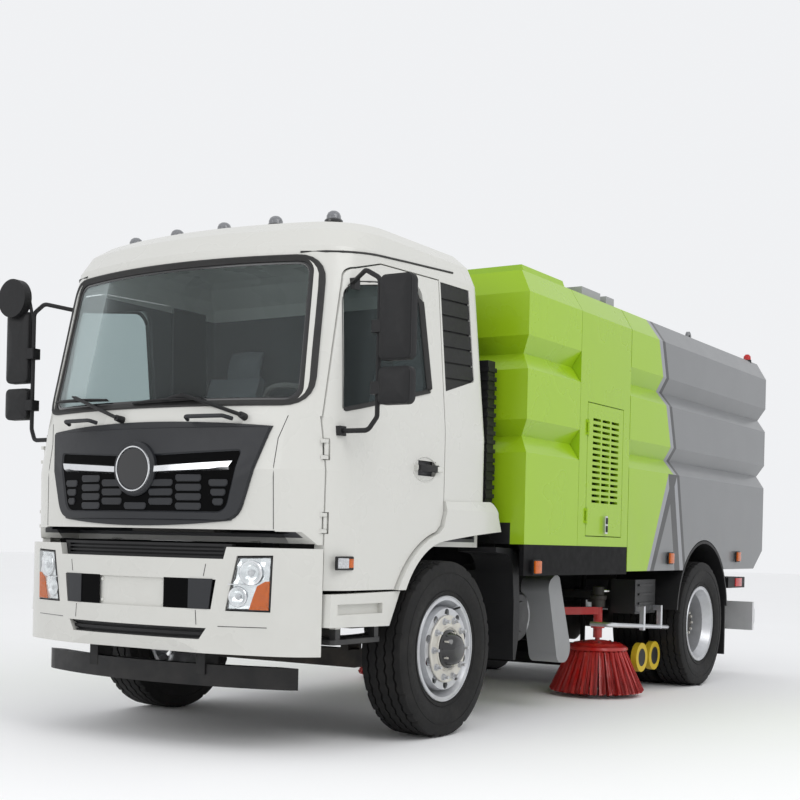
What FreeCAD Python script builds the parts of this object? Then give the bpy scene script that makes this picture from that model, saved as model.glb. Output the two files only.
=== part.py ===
"""Street sweeper truck: forward-control cab, sweeper body with tipping hopper,
two side brushes and a suction nozzle, as separate solids in millimetres.

X points to the truck's left (driver's side), Y to the rear and Z up. Every Y in
this file is measured from the front axle. The finished pieces are moved forward
by middle_of_length, so that the origin lies on the ground under the middle."""

import FreeCAD
import Part
import math
import os

Vector = FreeCAD.Vector

# Overall layout
wheelbase = 3960
middle_of_length = 2040
body_half_width = 1250
running_gap = 6
seat_gap = 0.3
pin_clearance = 0.05

# Wheels and tyres
tyre_radius = 510
tyre_width = 275
rim_flange_radius = 303
bead_radius = 285
rim_width = 232
rim_wall = 10
front_wheel_x = 1009
twin_outer_x = 1106
twin_spacing = 312
stud_circle_radius = 167.5
stud_radius = 11
stud_count = 10
hand_hole_radius = 25
hand_hole_circle = 208
rear_axle_radius = 75
kingpin_x = 860
kingpin_radius = 24

# Ladder frame
rail_outer_x = 430
rail_flange = 75
rail_height = 260
rail_top = 950
rail_wall = 12
rail_front_y = -1180
rail_rear_y = 5180
front_spring_reach = 690
front_spring_top = 612
rear_spring_reach = 590
rear_spring_top = 705
cross_member_ys = (-1120, 1260, 1700, 3180, 4700, 5100)

# Cab
cab_half_width = 1092
cab_wall = 52
cab_skin_gap = 6
cab_floor_z = 1100
cab_floor_thickness = 50
cab_side_bottom_z = 857
cab_front_bottom_z = 1165
cab_nose_y = -1390
cab_rear_y = 517
cab_belt_z = 1760
screen_top_z = 2680
roof_top_z = 2885
seat_x = 665
cab_pivot_y = -1230
cab_pivot_z = 1000
cab_pivot_radius = 22
front_curve_radius = 2550
front_corner_start = 242
rear_corner_radius = 70

# Cab doors
door_gap = 8
door_front_y = -1092
door_rear_y = -4
door_sill_rear_y = -513
door_hinge_x = 1028
door_hinge_radius = 12
door_swing_radius = 62
door_swing_radius_at_belt = 113
window_bottom_z = 1820
window_top_z = 2540
glass_thickness = 6
wheel_arch_top_z = 1130
wheel_arch_front_y = -425
fender_rear_y = 669
fender_bulge = 24

# Bumper
bumper_nose_y = -1425
bumper_half_width = 1100
bumper_top_z = 1075
bumper_dip_z = 1012
bumper_dip_half_width = 585
bumper_bottom_z = 521
bumper_wall = 50
bumper_end_y = -1120
plate_half_width = 520
plate_bottom_z = 750
plate_top_z = 905
headlamp_inner_x = 625
headlamp_outer_x = 850
headlamp_bottom_z = 745
headlamp_top_z = 1037

# Sweeper body
module_front_y = 720
first_seam_y = 1493
second_seam_y = 2339
hopper_rear_y = 5495
panel_gap = 4
roof_z = 2850
shoulder_z = 2700
roof_half_width = 1160
upper_ridge_low_z = 2430
upper_groove_z = 2326
lower_ridge_top_z = 2220
lower_ridge_low_z = 1906
lower_groove_z = 1808
lower_panel_top_z = 1699
groove_depth = 72
panel_bottom_z = 1126
skirt_bottom_z = 930
hopper_bottom_z = 950
hopper_floor_z = 1130
body_wall = 60
rear_bevel_y = 5247
arch_radius = 605
arch_center_z = 595
access_hinge_x = 1256
access_hinge_y = 1616
tip_axis_y = 5150
tip_axis_z = 1000
tip_pin_radius = 30
lifting_eye_x = 1050
lifting_eye_y = 4000
lifting_eye_z = 2895
lifting_eye_radius = 17.5
coupling_width = 160
coupling_height = 100
coupling_hole_radius = 10.5
coupling_z = 830
rear_door_hinge_y = 5505
rear_door_hinge_z = 2765
rear_door_thickness = 50
rear_door_hinge_radius = 14

# Sweeping gear
brush_x = 880
brush_y = 2684
brush_tip_radius = 350
brush_plate_radius = 226
brush_plate_z = 375
brush_ground_gap = 25
brush_tufts = 30
brush_arm_x = 600
brush_arm_y = 2150
brush_arm_z = 640
brush_spindle_radius = 18
nozzle_y = 3240
nozzle_half_width = 1010
nozzle_low_z = 165
nozzle_wheel_ys = (3090, 3350)
nozzle_wheel_z = 272
lift_rod_x = 500
lift_rod_radius = 20
suction_x = 640
suction_radius = 90
nozzle_wheel_radius = 112
nozzle_wheel_width = 46


def box(x0, x1, y0, y1, z0, z1):
    return Part.makeBox(x1 - x0, y1 - y0, z1 - z0, Vector(x0, y0, z0))


def cylinder_x(y, z, radius, x0, x1):
    return Part.makeCylinder(radius, x1 - x0, Vector(x0, y, z), Vector(1, 0, 0))


def cylinder_y(x, z, radius, y0, y1):
    return Part.makeCylinder(radius, y1 - y0, Vector(x, y0, z), Vector(0, 1, 0))


def cylinder_z(x, y, radius, z0, z1):
    return Part.makeCylinder(radius, z1 - z0, Vector(x, y, z0), Vector(0, 0, 1))


def outline_face(items, place):
    """Face inside a closed outline. An item is a corner, or a point on an arc with its end."""
    edges = []
    current = place(*items[0])
    for item in items[1:] + items[:1]:
        if isinstance(item[0], tuple):
            through, end = item
            edges.append(Part.Arc(current, place(*through), place(*end)).toShape())
            current = place(*end)
        elif (place(*item) - current).Length > 0.001:
            edges.append(Part.makeLine(current, place(*item)))
            current = place(*item)
    return Part.Face(Part.Wire(edges))


def prism_x(items, x0, x1):
    """Extrude an outline of (y, z) points along X."""
    face = outline_face(items, lambda y, z: Vector(x0, y, z))
    return face.extrude(Vector(x1 - x0, 0, 0))


def prism_y(items, y0, y1):
    """Extrude an outline of (x, z) points along Y."""
    face = outline_face(items, lambda x, z: Vector(x, y0, z))
    return face.extrude(Vector(0, y1 - y0, 0))


def prism_z(items, z0, z1):
    """Extrude an outline of (x, y) points along Z."""
    face = outline_face(items, lambda x, y: Vector(x, y, z0))
    return face.extrude(Vector(0, 0, z1 - z0))


def edges_along(shape, axis):
    """Return the straight edges of a shape that run along one axis."""
    found = []
    for edge in shape.Edges:
        if edge.Curve.TypeId == "Part::GeomLine":
            if abs(edge.tangentAt(edge.FirstParameter).dot(axis)) > 0.999:
                found.append(edge)
    return found


def rounded(shape, axis, radius):
    """Round the edges of a prism that run along one axis."""
    return shape.makeFillet(radius, edges_along(shape, axis))


def revolve_x(profile, x, y, z):
    """Turn a closed profile of (offset, radius) points about a line along X."""
    points = [Vector(x + offset, y, z + radius) for offset, radius in profile]
    face = Part.Face(Part.makePolygon(points + points[:1]))
    return face.revolve(Vector(x, y, z), Vector(1, 0, 0), 360)


def revolve_z(profile, x, y):
    """Turn a closed profile of (radius, height) points about a line along Z."""
    points = [Vector(x + radius, y, height) for radius, height in profile]
    face = Part.Face(Part.makePolygon(points + points[:1]))
    return face.revolve(Vector(x, y, 0), Vector(0, 0, 1), 360)


def mirrored(shape):
    return shape.mirror(Vector(0, 0, 0), Vector(1, 0, 0))


def both_sides(shape):
    return Part.makeCompound([shape, mirrored(shape)])


def fused(shapes):
    """Join touching shapes into one clean solid."""
    return shapes[0].multiFuse(shapes[1:]).removeSplitter()


def ring_section(center, direction, radius):
    """Eight-sided section square to a direction."""
    helper = Vector(1, 0, 0) if abs(direction.z) > 0.9 else Vector(0, 0, 1)
    first = direction.cross(helper).normalize()
    second = direction.cross(first)
    corners = []
    for step in range(8):
        angle = math.radians(22.5 + 45 * step)
        corners.append(center + first * (radius * math.cos(angle)) + second * (radius * math.sin(angle)))
    return Part.makePolygon(corners + corners[:1])


def tube(points, radius, bend):
    """Sweep a tube along straight runs joined by arcs."""
    vectors = [Vector(*point) for point in points]
    edges = []
    start = vectors[0]
    for before, corner, after in zip(vectors, vectors[1:], vectors[2:]):
        inward = (before - corner).normalize()
        outward = (after - corner).normalize()
        half_turn = (math.pi - inward.getAngle(outward)) / 2
        setback = bend * math.tan(half_turn)
        arc_start = corner + inward * setback
        arc_end = corner + outward * setback
        middle = (inward + outward).normalize()
        reach = bend / math.cos(half_turn) - bend
        edges.append(Part.LineSegment(start, arc_start).toShape())
        edges.append(Part.Arc(arc_start, corner + middle * reach, arc_end).toShape())
        start = arc_end
    edges.append(Part.LineSegment(start, vectors[-1]).toShape())
    direction = (vectors[1] - vectors[0]).normalize()
    return Part.Wire(edges).makePipeShell([ring_section(vectors[0], direction, radius)], True, False)


# Chassis


def chassis_frame():
    """Two channel rails joined by cross members, with the cab and tipping brackets."""
    length = rail_rear_y - rail_front_y
    rail_bottom = rail_top - rail_height
    inner_x = rail_outer_x - rail_flange
    rail = box(inner_x, rail_outer_x, rail_front_y, rail_front_y + length, rail_bottom, rail_top)
    hollow = box(inner_x, rail_outer_x - rail_wall, rail_front_y, rail_rear_y,
                 rail_bottom + rail_wall, rail_top - rail_wall)
    web_side = rail.cut(hollow)
    pieces = [web_side, mirrored(web_side)]
    for y in cross_member_ys:
        reach = rail_outer_x - rail_wall
        pieces.append(box(-reach, reach, y - 45, y + 45, rail_bottom + 70, rail_top - 50))
    for side in (1, -1):
        pieces.append(cab_bracket(side))
        pieces.append(tip_bracket(side))
        pieces.append(spring_hangers(side))
    frame = fused(pieces)
    for x in (-coupling_width / 2, coupling_width / 2):
        for z in (coupling_z - coupling_height / 2, coupling_z + coupling_height / 2):
            y = cross_member_ys[-1]
            frame = frame.cut(cylinder_y(x, z, coupling_hole_radius, y - 50, y + 50))
    return frame


def cab_bracket(side):
    """Bracket on the front of a rail that carries the cab's tilt pivot."""
    inner = rail_outer_x - 5
    outer = rail_outer_x + 50
    plate = prism_x([(cab_pivot_y - 10, rail_top - rail_height), (cab_pivot_y + 130, rail_top - rail_height),
                     (cab_pivot_y + 130, rail_top), (cab_pivot_y + 45, cab_pivot_z + 40),
                     (cab_pivot_y - 40, cab_pivot_z + 40), (cab_pivot_y - 40, cab_pivot_z - 60)],
                    inner, outer)
    pin = cylinder_x(cab_pivot_y, cab_pivot_z, cab_pivot_radius, inner, outer + 70)
    shape = plate.fuse(pin)
    return shape if side > 0 else mirrored(shape)


def tip_bracket(side):
    """Ear behind the end of a rail that carries the hopper's tipping pin."""
    inner = rail_outer_x - rail_flange
    ear = prism_x([(rail_rear_y - 120, rail_top - 100), (rail_rear_y, rail_top - 100),
                   (rail_rear_y + 10, tip_axis_z + 42), (rail_rear_y - 70, tip_axis_z + 42)],
                  inner, rail_outer_x)
    pin = cylinder_x(tip_axis_y, tip_axis_z, tip_pin_radius, inner, rail_outer_x + 90)
    shape = ear.fuse(pin)
    return shape if side > 0 else mirrored(shape)


def spring_hangers(side):
    """Hangers under a rail at both ends of its front and rear leaf springs."""
    hangers = []
    bottom = rail_top - rail_height
    for axle_y, reach, spring_top in ((0, front_spring_reach, front_spring_top),
                                      (wheelbase, rear_spring_reach, rear_spring_top)):
        for end in (-1, 1):
            y = axle_y + end * (reach + 10)
            low = spring_top + seat_gap
            hangers.append(prism_x([(y - 60, bottom + 100), (y + 60, bottom + 100),
                                    (y + 30, low), (y - 30, low)],
                                   rail_outer_x - rail_wall, rail_outer_x + 60))
    shape = hangers[0].multiFuse(hangers[1:])
    return shape if side > 0 else mirrored(shape)


def leaf_spring(axle_y, half_length, end_z, camber, leaves, x0, x1):
    """Stack of curved leaves that shorten towards the axle."""
    stack = []
    seat_z = end_z - camber
    thickness = 14
    for leaf in range(leaves):
        reach = half_length * (1 - 0.16 * leaf)
        drop = camber * (reach / half_length) ** 2
        top = seat_z - leaf * thickness
        upper = Part.Arc(Vector(x0, axle_y - reach, top + drop), Vector(x0, axle_y, top),
                         Vector(x0, axle_y + reach, top + drop)).toShape()
        lower = Part.Arc(Vector(x0, axle_y + reach, top + drop - thickness),
                         Vector(x0, axle_y, top - thickness),
                         Vector(x0, axle_y - reach, top + drop - thickness)).toShape()
        ends = [Part.makeLine(upper.Vertexes[-1].Point, lower.Vertexes[0].Point),
                Part.makeLine(lower.Vertexes[-1].Point, upper.Vertexes[0].Point)]
        face = Part.Face(Part.Wire([upper, ends[0], lower, ends[1]]))
        stack.append(face.extrude(Vector(x1 - x0, 0, 0)))
    return stack


def front_axle():
    """Forged beam with its springs, dropped between the kingpin eyes."""
    spring_x0 = rail_outer_x + 4
    spring_x1 = rail_outer_x + 60
    eye_x = kingpin_x
    beam = prism_y([(-eye_x, 450), (-eye_x + 90, 450), (-520, 360), (520, 360), (eye_x - 90, 450),
                    (eye_x, 450), (eye_x, 560), (eye_x - 80, 560), (540, 470), (-540, 470),
                    (-eye_x + 80, 560), (-eye_x, 560)], -45, 45)
    pieces = [beam]
    for side in (1, -1):
        eye = cylinder_z(side * eye_x, 0, 52, 450, 560)
        pin_top = cylinder_z(side * eye_x, 0, kingpin_radius, 395, 615)
        pieces += [eye, pin_top]
        seat = box(min(side * spring_x0, side * spring_x1), max(side * spring_x0, side * spring_x1),
                   -70, 70, 465, 502)
        pieces.append(seat)
        low, high = sorted((side * spring_x0, side * spring_x1))
        pieces += leaf_spring(0, front_spring_reach, front_spring_top, 60, 4, low, high)
    return fused(pieces)


def rear_axle():
    """Banjo housing with half-shaft tubes, brake drums' backs and springs."""
    spring_x0 = rail_outer_x + 4
    spring_x1 = rail_outer_x + 60
    y = wheelbase
    reach = twin_outer_x - twin_spacing / 2 + 30
    pieces = [cylinder_x(y, tyre_radius, rear_axle_radius, -reach, reach)]
    pieces.append(revolve_x([(-170, 0), (-170, 95), (-90, 195), (90, 195), (170, 95), (170, 0)], 0, y, tyre_radius))
    pieces.append(cylinder_y(0, tyre_radius, 70, y - 330, y - 150))
    for side in (1, -1):
        low, high = sorted((side * spring_x0, side * spring_x1))
        pieces.append(box(low, high, y - 75, y + 75, tyre_radius - 60, 620))
        pieces += leaf_spring(y, rear_spring_reach, rear_spring_top, 30, 5, low, high)
    return fused(pieces)


def driveline():
    """Engine as one plain block, gearbox and propeller shaft to the rear axle."""
    block = box(-330, 330, -560, 420, 620, 1230)
    sump = box(-170, 170, -480, 300, 490, 640)
    gearbox = prism_y([(-190, 560), (190, 560), (230, 700), (190, 900), (-190, 900), (-230, 700)],
                      400, 1180)
    shaft_end_y = wheelbase - 336
    start = Vector(0, 1180, 690)
    end = Vector(0, shaft_end_y, tyre_radius + 20)
    shaft = Part.makeCylinder(45, (end - start).Length, start, end - start)
    flange = cylinder_y(0, tyre_radius + 10, 55, shaft_end_y - 30, shaft_end_y + 5)
    return fused([block, sump, gearbox, shaft, flange])


# Cab

cab_forms = {}


def cab_wire(z, nose_y, half_width, rear_y, inset):
    """Plan outline of the cab at one height: bowed front, round corners, straight sides."""
    start_x = half_width - front_corner_start
    slope = start_x / front_curve_radius
    rise = math.sqrt(1 - slope * slope)
    corner_radius = front_corner_start / (1 - slope)
    bow = front_curve_radius - inset
    center_y = nose_y + front_curve_radius
    corner_x = start_x - corner_radius * slope
    corner_y = center_y - (front_curve_radius - corner_radius) * rise
    inner = corner_radius - inset
    half = half_width - inset
    rear = rear_y - inset
    small = max(rear_corner_radius - inset, 8)
    bevel = small * (1 - math.sqrt(0.5))

    def at(x, y):
        return Vector(x, y, z)

    def corner(side):
        middle = math.radians(45) - math.asin(slope) / 2
        return at(side * (corner_x + inner * math.cos(middle)), corner_y - inner * math.sin(middle))

    front_x = bow * slope
    front_y = center_y - bow * rise
    edges = [
        Part.Arc(at(-front_x, front_y), at(0, nose_y + inset), at(front_x, front_y)),
        Part.Arc(at(front_x, front_y), corner(1), at(half, corner_y)),
        Part.LineSegment(at(half, corner_y), at(half, rear - small)),
        Part.Arc(at(half, rear - small), at(half - bevel, rear - bevel), at(half - small, rear)),
        Part.LineSegment(at(half - small, rear), at(small - half, rear)),
        Part.Arc(at(small - half, rear), at(bevel - half, rear - bevel), at(-half, rear - small)),
        Part.LineSegment(at(-half, rear - small), at(-half, corner_y)),
        Part.Arc(at(-half, corner_y), corner(-1), at(-front_x, front_y)),
    ]
    return Part.Wire([edge.toShape() for edge in edges])


def cab_solid(inset):
    """Closed cab form, drawn in by one thickness all round, kept once made."""
    if inset not in cab_forms:
        cab_forms[inset] = make_cab_solid(inset)
    return cab_forms[inset].copy()


def make_cab_solid(inset):
    """Stack plan outlines from the sill to the crown of the roof."""
    roof_rise = roof_top_z - screen_top_z
    sections = [
        (cab_side_bottom_z, cab_nose_y + 10, 0, cab_rear_y),
        (1480, cab_nose_y, 0, cab_rear_y),
        (cab_belt_z, cab_nose_y + 50, 0, cab_rear_y),
        (screen_top_z, cab_nose_y + 255, 40, cab_rear_y - 90),
        (screen_top_z + 0.50 * roof_rise, cab_nose_y + 330, 62, cab_rear_y - 150),
        (screen_top_z + 0.80 * roof_rise, cab_nose_y + 430, 115, cab_rear_y - 220),
        (screen_top_z + 0.95 * roof_rise, cab_nose_y + 560, 190, cab_rear_y - 290),
        (roof_top_z, cab_nose_y + 760, 330, cab_rear_y - 400),
    ]
    wires = []
    for z, nose_y, tuck, rear_y in sections:
        if z > screen_top_z:
            z -= inset
        wires.append(cab_wire(z, nose_y, cab_half_width - tuck, rear_y, inset))
    return Part.makeLoft(wires, True, True)


def skin(outer_inset, inner_inset):
    """Shell of the cab form between two depths below its surface."""
    return cab_solid(outer_inset).cut(cab_solid(inner_inset))


def door_outline(gap):
    """Door edge from the sill round the windscreen pillar and roof trim to the wheel arch."""
    front = door_front_y - gap
    rear = door_rear_y + gap
    top = window_top_z + gap
    low = cab_side_bottom_z + 4 - gap
    return [
        (front, low), (front, cab_belt_z - 30), (door_front_y + 177 - gap, top - 40),
        ((door_front_y + 197 - gap, top + 5), (door_front_y + 242 - gap, top + 25)),
        (-660, top + 78), (rear - 53, top + 100), (rear, cab_belt_z + 20), (rear, 1305),
        (rear - 31, 1222 - gap), (rear - 80, 1185 - gap),
        ((-308 + gap, 1085 - gap), (door_sill_rear_y + gap, low)),
    ]


def window_outline(gap):
    return [
        (door_front_y + 105 + gap, window_bottom_z - 22 + gap),
        (door_front_y + 165 + gap, window_top_z - 140),
        ((door_front_y + 185 + gap, window_top_z - 85 - gap), (door_front_y + 250, window_top_z - 60 - gap)),
        (-310, window_top_z + 32 - gap),
        ((-255 - gap, window_top_z + 10), (-232 - gap, window_top_z - 60)),
        (-150 - gap, 1985 + gap),
    ]


def screen_outline(gap):
    low = 1822 + gap
    top = 2618 - gap
    wide = 915 - gap
    high_wide = 868 - gap
    corner = 90
    return [
        (-wide + corner, low), (wide - corner, low),
        ((wide - 0.3 * corner, low + 0.3 * corner), (wide - 6, low + corner)),
        (high_wide, top - corner),
        ((high_wide - 0.3 * corner, top - 0.3 * corner), (high_wide - corner, top)),
        (-high_wide + corner, top),
        ((-high_wide + 0.3 * corner, top - 0.3 * corner), (-high_wide, top - corner)),
        (-wide + 6, low + corner),
        ((-wide + 0.3 * corner, low + 0.3 * corner), (-wide + corner, low)),
    ]


def side_vent_outline(gap):
    front = door_rear_y + 2 * door_gap + gap
    return [
        (front - 46, window_top_z + 98 - gap), (300 - gap, window_top_z + 104 - gap), (348 - gap, 2128),
        ((346 - gap, 2102), (322, 2092 + gap)), (front, 2005 + gap),
    ]


def door_hinge_heights():
    return (1180, 1560)


def hinge_pocket(radius, low, high):
    return cylinder_z(door_hinge_x, door_front_y + 6, radius, low, high)


def door_swing_room():
    """Room behind the hinge line for the door's inner front edge as it swings back."""
    reach = hinge_pocket(door_swing_radius, cab_side_bottom_z - 10, cab_belt_z)
    return reach.common(box(880, cab_half_width, door_front_y - door_gap, door_front_y + 100, 700, cab_belt_z))


def hinge_lugs():
    """Lugs and pins of the left door's hinges on the cab's front corner."""
    pieces = []
    y = door_front_y + 6
    for low in door_hinge_heights():
        for start in (low - 22, low + 62):
            pieces.append(cylinder_z(door_hinge_x, y, door_hinge_radius, start, start + 20))
            pieces.append(box(door_hinge_x - 12, door_hinge_x + 8, y - 32, y, start, start + 20))
        pieces.append(cylinder_z(door_hinge_x, y, door_hinge_radius / 2, low - 10, low + 70))
    return pieces


def cab_shell():
    """Pressed cab: bowed front, screen and door openings, vents, floor and engine tunnel."""
    outer = cab_solid(0)
    inner = cab_solid(cab_wall)
    shell = outer.cut(inner)
    floor_top = cab_floor_z + cab_floor_thickness
    floor = outer.common(box(-1200, 1200, -1500, cab_rear_y, cab_floor_z, floor_top))
    shell = shell.fuse(floor)
    under_front = box(-830, 830, -1500, -1000, 700, cab_front_bottom_z)
    corner_low_z = bumper_top_z + 20
    under_corner = prism_x([(-1500, 700), (door_front_y + 40, 700), (door_front_y + 40, corner_low_z),
                            (door_front_y - 30, corner_low_z), (door_front_y - 90, cab_front_bottom_z - 5),
                            (-1500, cab_front_bottom_z - 5)], -1200, 1200)
    under_floor = box(-1000, 1000, -1500, 700, 700, cab_floor_z)
    arch = prism_x(wheel_arch_outline(), -1300, 1300)
    arch = arch.cut(box(-1030, 1030, -700, 800, cab_floor_z, 1400))
    shell = shell.cut(under_front).cut(under_corner).cut(under_floor)
    shell = shell.fuse(fender()).fuse(mirrored(fender())).cut(arch)
    hump_out = box(-430, 430, -700, cab_rear_y - 20, floor_top - 10, 1400)
    hump_in = box(-395, 395, -665, cab_rear_y + 40, 1000, 1365)
    shell = shell.fuse(hump_out.common(outer)).cut(hump_in)
    shell = shell.cut(prism_y(screen_outline(0), -1700, -830))
    clear_inner = cab_solid(cab_wall + cab_skin_gap)
    for side in (1, -1):
        opening = prism_x(door_outline(door_gap), 880, 1400).cut(clear_inner)
        vent = prism_x(side_vent_outline(0), 960, 1400)
        opening = opening.fuse(vent)
        for low in door_hinge_heights():
            opening = opening.fuse(hinge_pocket(21, low - 26, low + 86))
        opening = opening.fuse(door_swing_room())
        if side < 0:
            opening = mirrored(opening)
        shell = shell.cut(opening)
    pieces = [shell]
    for side in (1, -1):
        parts = hinge_lugs() + [tilt_lug()]
        for part in parts:
            pieces.append(part if side > 0 else mirrored(part))
    return fused(pieces)


def wheel_arch_outline():
    """Open side of the front wheel arch, below the fender's edge."""
    return [
        (wheel_arch_front_y, 700), (wheel_arch_front_y, cab_side_bottom_z),
        ((-290, 1018), (-40, wheel_arch_top_z)), ((300, 1168), (fender_rear_y, 1200)),
        (fender_rear_y + 60, 1200), (fender_rear_y + 60, 700),
    ]


def fender():
    """Bulge over the wheel arch that runs back past the cab's rear wall, before the arch is cut."""
    low = cab_side_bottom_z
    outline = [
        (-500, low), (fender_rear_y, low), (fender_rear_y, 1200), (fender_rear_y - 40, 1290),
        ((fender_rear_y - 85, 1368), (fender_rear_y - 130, 1380)), (door_rear_y, 1364), (-300, 1240), (-500, 900),
    ]
    outer = cab_half_width + fender_bulge
    block = prism_x(outline, cab_half_width - 20, outer)
    slope = prism_y([(cab_half_width, 1400), (outer + 5, 1400), (outer + 5, 1318), (outer, 1318)],
                    -600, fender_rear_y + 10)
    return block.cut(slope)


def tilt_lug():
    """Arm under the cab floor that turns on the pivot pin of the frame."""
    x0 = rail_outer_x + 56
    eye = cylinder_x(cab_pivot_y, cab_pivot_z, 42, x0, x0 + 54)
    arm = prism_x([(cab_pivot_y - 15, cab_pivot_z + 36), (cab_pivot_y + 20, cab_pivot_z - 36),
                   (cab_pivot_y + 330, cab_floor_z - 40), (cab_pivot_y + 330, cab_floor_z + 10),
                   (cab_pivot_y + 232, cab_floor_z + 10)],
                  x0, x0 + 54)
    bore = cylinder_x(cab_pivot_y, cab_pivot_z, cab_pivot_radius + pin_clearance, x0 - 5, x0 + 60)
    return eye.fuse(arm).cut(bore)


def windscreen():
    """Bowed laminated screen in its opening."""
    pane = skin(16, 16 + glass_thickness)
    return pane.common(prism_y(screen_outline(seat_gap), -1700, -830)).Solids[0]


def cab_door(side):
    """Left or right door leaf with its window opening and hinge eyes."""
    leaf = skin(0, cab_wall).common(prism_x(door_outline(0), 880, 1400))
    leaf = leaf.cut(prism_x(window_outline(0), 880, 1400))
    y = door_front_y + 6
    pieces = []
    for low in door_hinge_heights():
        leaf = leaf.cut(hinge_pocket(21, low - 26, low + 86))
    pieces.append(leaf)
    for low in door_hinge_heights():
        eye = cylinder_z(door_hinge_x, y, door_hinge_radius, low, low + 60)
        link = box(door_hinge_x - 14, door_hinge_x + 2, y, y + 34, low, low + 60)
        pieces.append(eye)
        pieces.append(link)
    door = fused(pieces)
    for low in door_hinge_heights():
        pin_hole = cylinder_z(door_hinge_x, y, door_hinge_radius / 2 + pin_clearance, low - 5, low + 65)
        door = door.cut(pin_hole)
    handle = rounded(box(cab_half_width - 2, cab_half_width + 26, -330, -60, 1526, 1560),
                     Vector(0, 1, 0), 10)
    scoop = box(cab_half_width - 30, cab_half_width + 12, -290, -100, 1500, 1586)
    door = door.cut(scoop).fuse(handle)
    door = door.removeSplitter()
    return door if side > 0 else mirrored(door)


def door_glass(side):
    pane = skin(22, 22 + glass_thickness)
    pane = pane.common(prism_x(window_outline(seat_gap), 880, 1400)).Solids[0]
    return pane if side > 0 else mirrored(pane)


def mirrors(side):
    """Tubular arm on the door pillar with a tall and a wide-angle mirror."""
    arm = tube([(1000, -860, 2480), (1180, -985, 2520), (1270, -985, 2470), (1270, -985, 1760),
                (1225, -1000, 1690), (1060, -1010, 1690)], 13, 40)
    foot = box(1012, 1080, -1035, -985, 1665, 1715)
    head = box(980, 1042, -885, -835, 2450, 2510)
    tall = rounded(box(1285, 1480, -1010, -955, 2045, 2480), Vector(0, 1, 0), 35)
    wide = rounded(box(1285, 1480, -1010, -955, 1820, 2010), Vector(0, 1, 0), 35)
    pieces = [arm, foot, head, tall, wide]
    for z in (2220, 1905):
        pieces.append(rounded(box(1240, 1330, -1020, -950, z - 32, z + 32), Vector(0, 0, 1), 12))
    if side < 0:
        pieces.append(cylinder_y(1390, 2560, 118, -1060, -1005))
        pieces.append(tube([(1270, -985, 2400), (1300, -1000, 2560), (1400, -1020, 2560)], 11, 30))
    shape = fused(pieces)
    shape = shape.cut(cab_solid(0))
    return largest(shape) if side > 0 else mirrored(largest(shape))


def largest(shape):
    """Keep the biggest solid of a shape."""
    return max(shape.Solids, key=lambda solid: solid.Volume)


def grille_panel():
    """Black front panel with a honeycomb of long hexagons, bare round boss and grab handles."""
    outline = [(-790, 1705), (-600, 1212), ((0, 1178), (600, 1212)), (790, 1705), ((0, 1735), (-790, 1705))]
    band = cab_solid(-10).cut(cab_solid(-1))
    panel = band.common(prism_y(outline, -1700, -1000))
    panel = largest(panel)
    cells = []
    for row in range(3):
        z = 1262 + row * 78
        for column in range(-5, 6):
            x = column * 122 + (61 if row % 2 else 0)
            if abs(x) > 545 + row * 35 or abs(x) < 130:
                continue
            cells.append(prism_y([(x - 55, z), (x - 40, z - 28), (x + 40, z - 28), (x + 55, z),
                                  (x + 40, z + 28), (x - 40, z + 28)], -1700, -1000))
    panel = panel.cut(Part.makeCompound(cells))
    pieces = [largest(panel)]
    pieces.append(cylinder_y(0, 1480, 108, cab_nose_y - 26, cab_nose_y + 2))
    for side in (1, -1):
        points = [(side * 330, -1366, 1738), (side * 350, -1410, 1750), (side * 570, -1372, 1752),
                  (side * 592, -1318, 1740)]
        pieces.append(tube(points, 11, 20))
    shape = fused(pieces)
    return shape.cut(cab_solid(0 - seat_gap))


def side_vents():
    """Louvred panels behind the doors."""
    panel = skin(6, 40).common(prism_x(side_vent_outline(seat_gap), 960, 1400))
    for slat in range(6):
        z = 2075 + slat * 92
        panel = panel.cut(prism_x([(-40, z), (400, z + 20), (400, z + 32), (-40, z + 12)],
                                  cab_half_width - 75, cab_half_width + 40).cut(cab_solid(18)))
    return both_sides(largest(panel))


def roof_lamps():
    """Five marker lamps on the front of the roof."""
    lamps = []
    for x, y in ((0, -719), (368, -709), (-368, -709), (740, -668), (-740, -668)):
        foot = roof_height(x * 0.94, y + 56) + seat_gap
        base = [(0, foot), (52, foot), (46, foot + 16), (37, foot + 16)]
        dome = [(35, foot + 40), (24, foot + 60), (0, foot + 66)]
        lamps.append(revolve_z(base + dome, x, y))
    return Part.makeCompound(lamps)


def roof_height(x, y):
    """Height of the roof skin above one point."""
    ray = Part.makeLine(Vector(x, y, screen_top_z - 200), Vector(x, y, roof_top_z + 100))
    return cab_solid(0).common(ray).BoundBox.ZMax


def seats():
    """Two covered seats on plinths."""
    chairs = []
    floor_top = cab_floor_z + cab_floor_thickness
    for x in (seat_x, -seat_x):
        plinth = box(x - 170, x + 170, -420, 60, floor_top + seat_gap, floor_top + 230)
        cushion = rounded(box(x - 220, x + 220, -480, 60, floor_top + 230, floor_top + 380),
                          Vector(1, 0, 0), 50)
        back = prism_x([(20, floor_top + 330), (150, floor_top + 330), (330, floor_top + 1030),
                        (240, floor_top + 1050)], x - 215, x + 215)
        head = prism_x([(255, floor_top + 1020), (330, floor_top + 1000), (380, floor_top + 1200),
                        (300, floor_top + 1220)], x - 140, x + 140)
        chairs.append(fused([plinth, cushion, back, head]))
    return Part.makeCompound(chairs)


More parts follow.
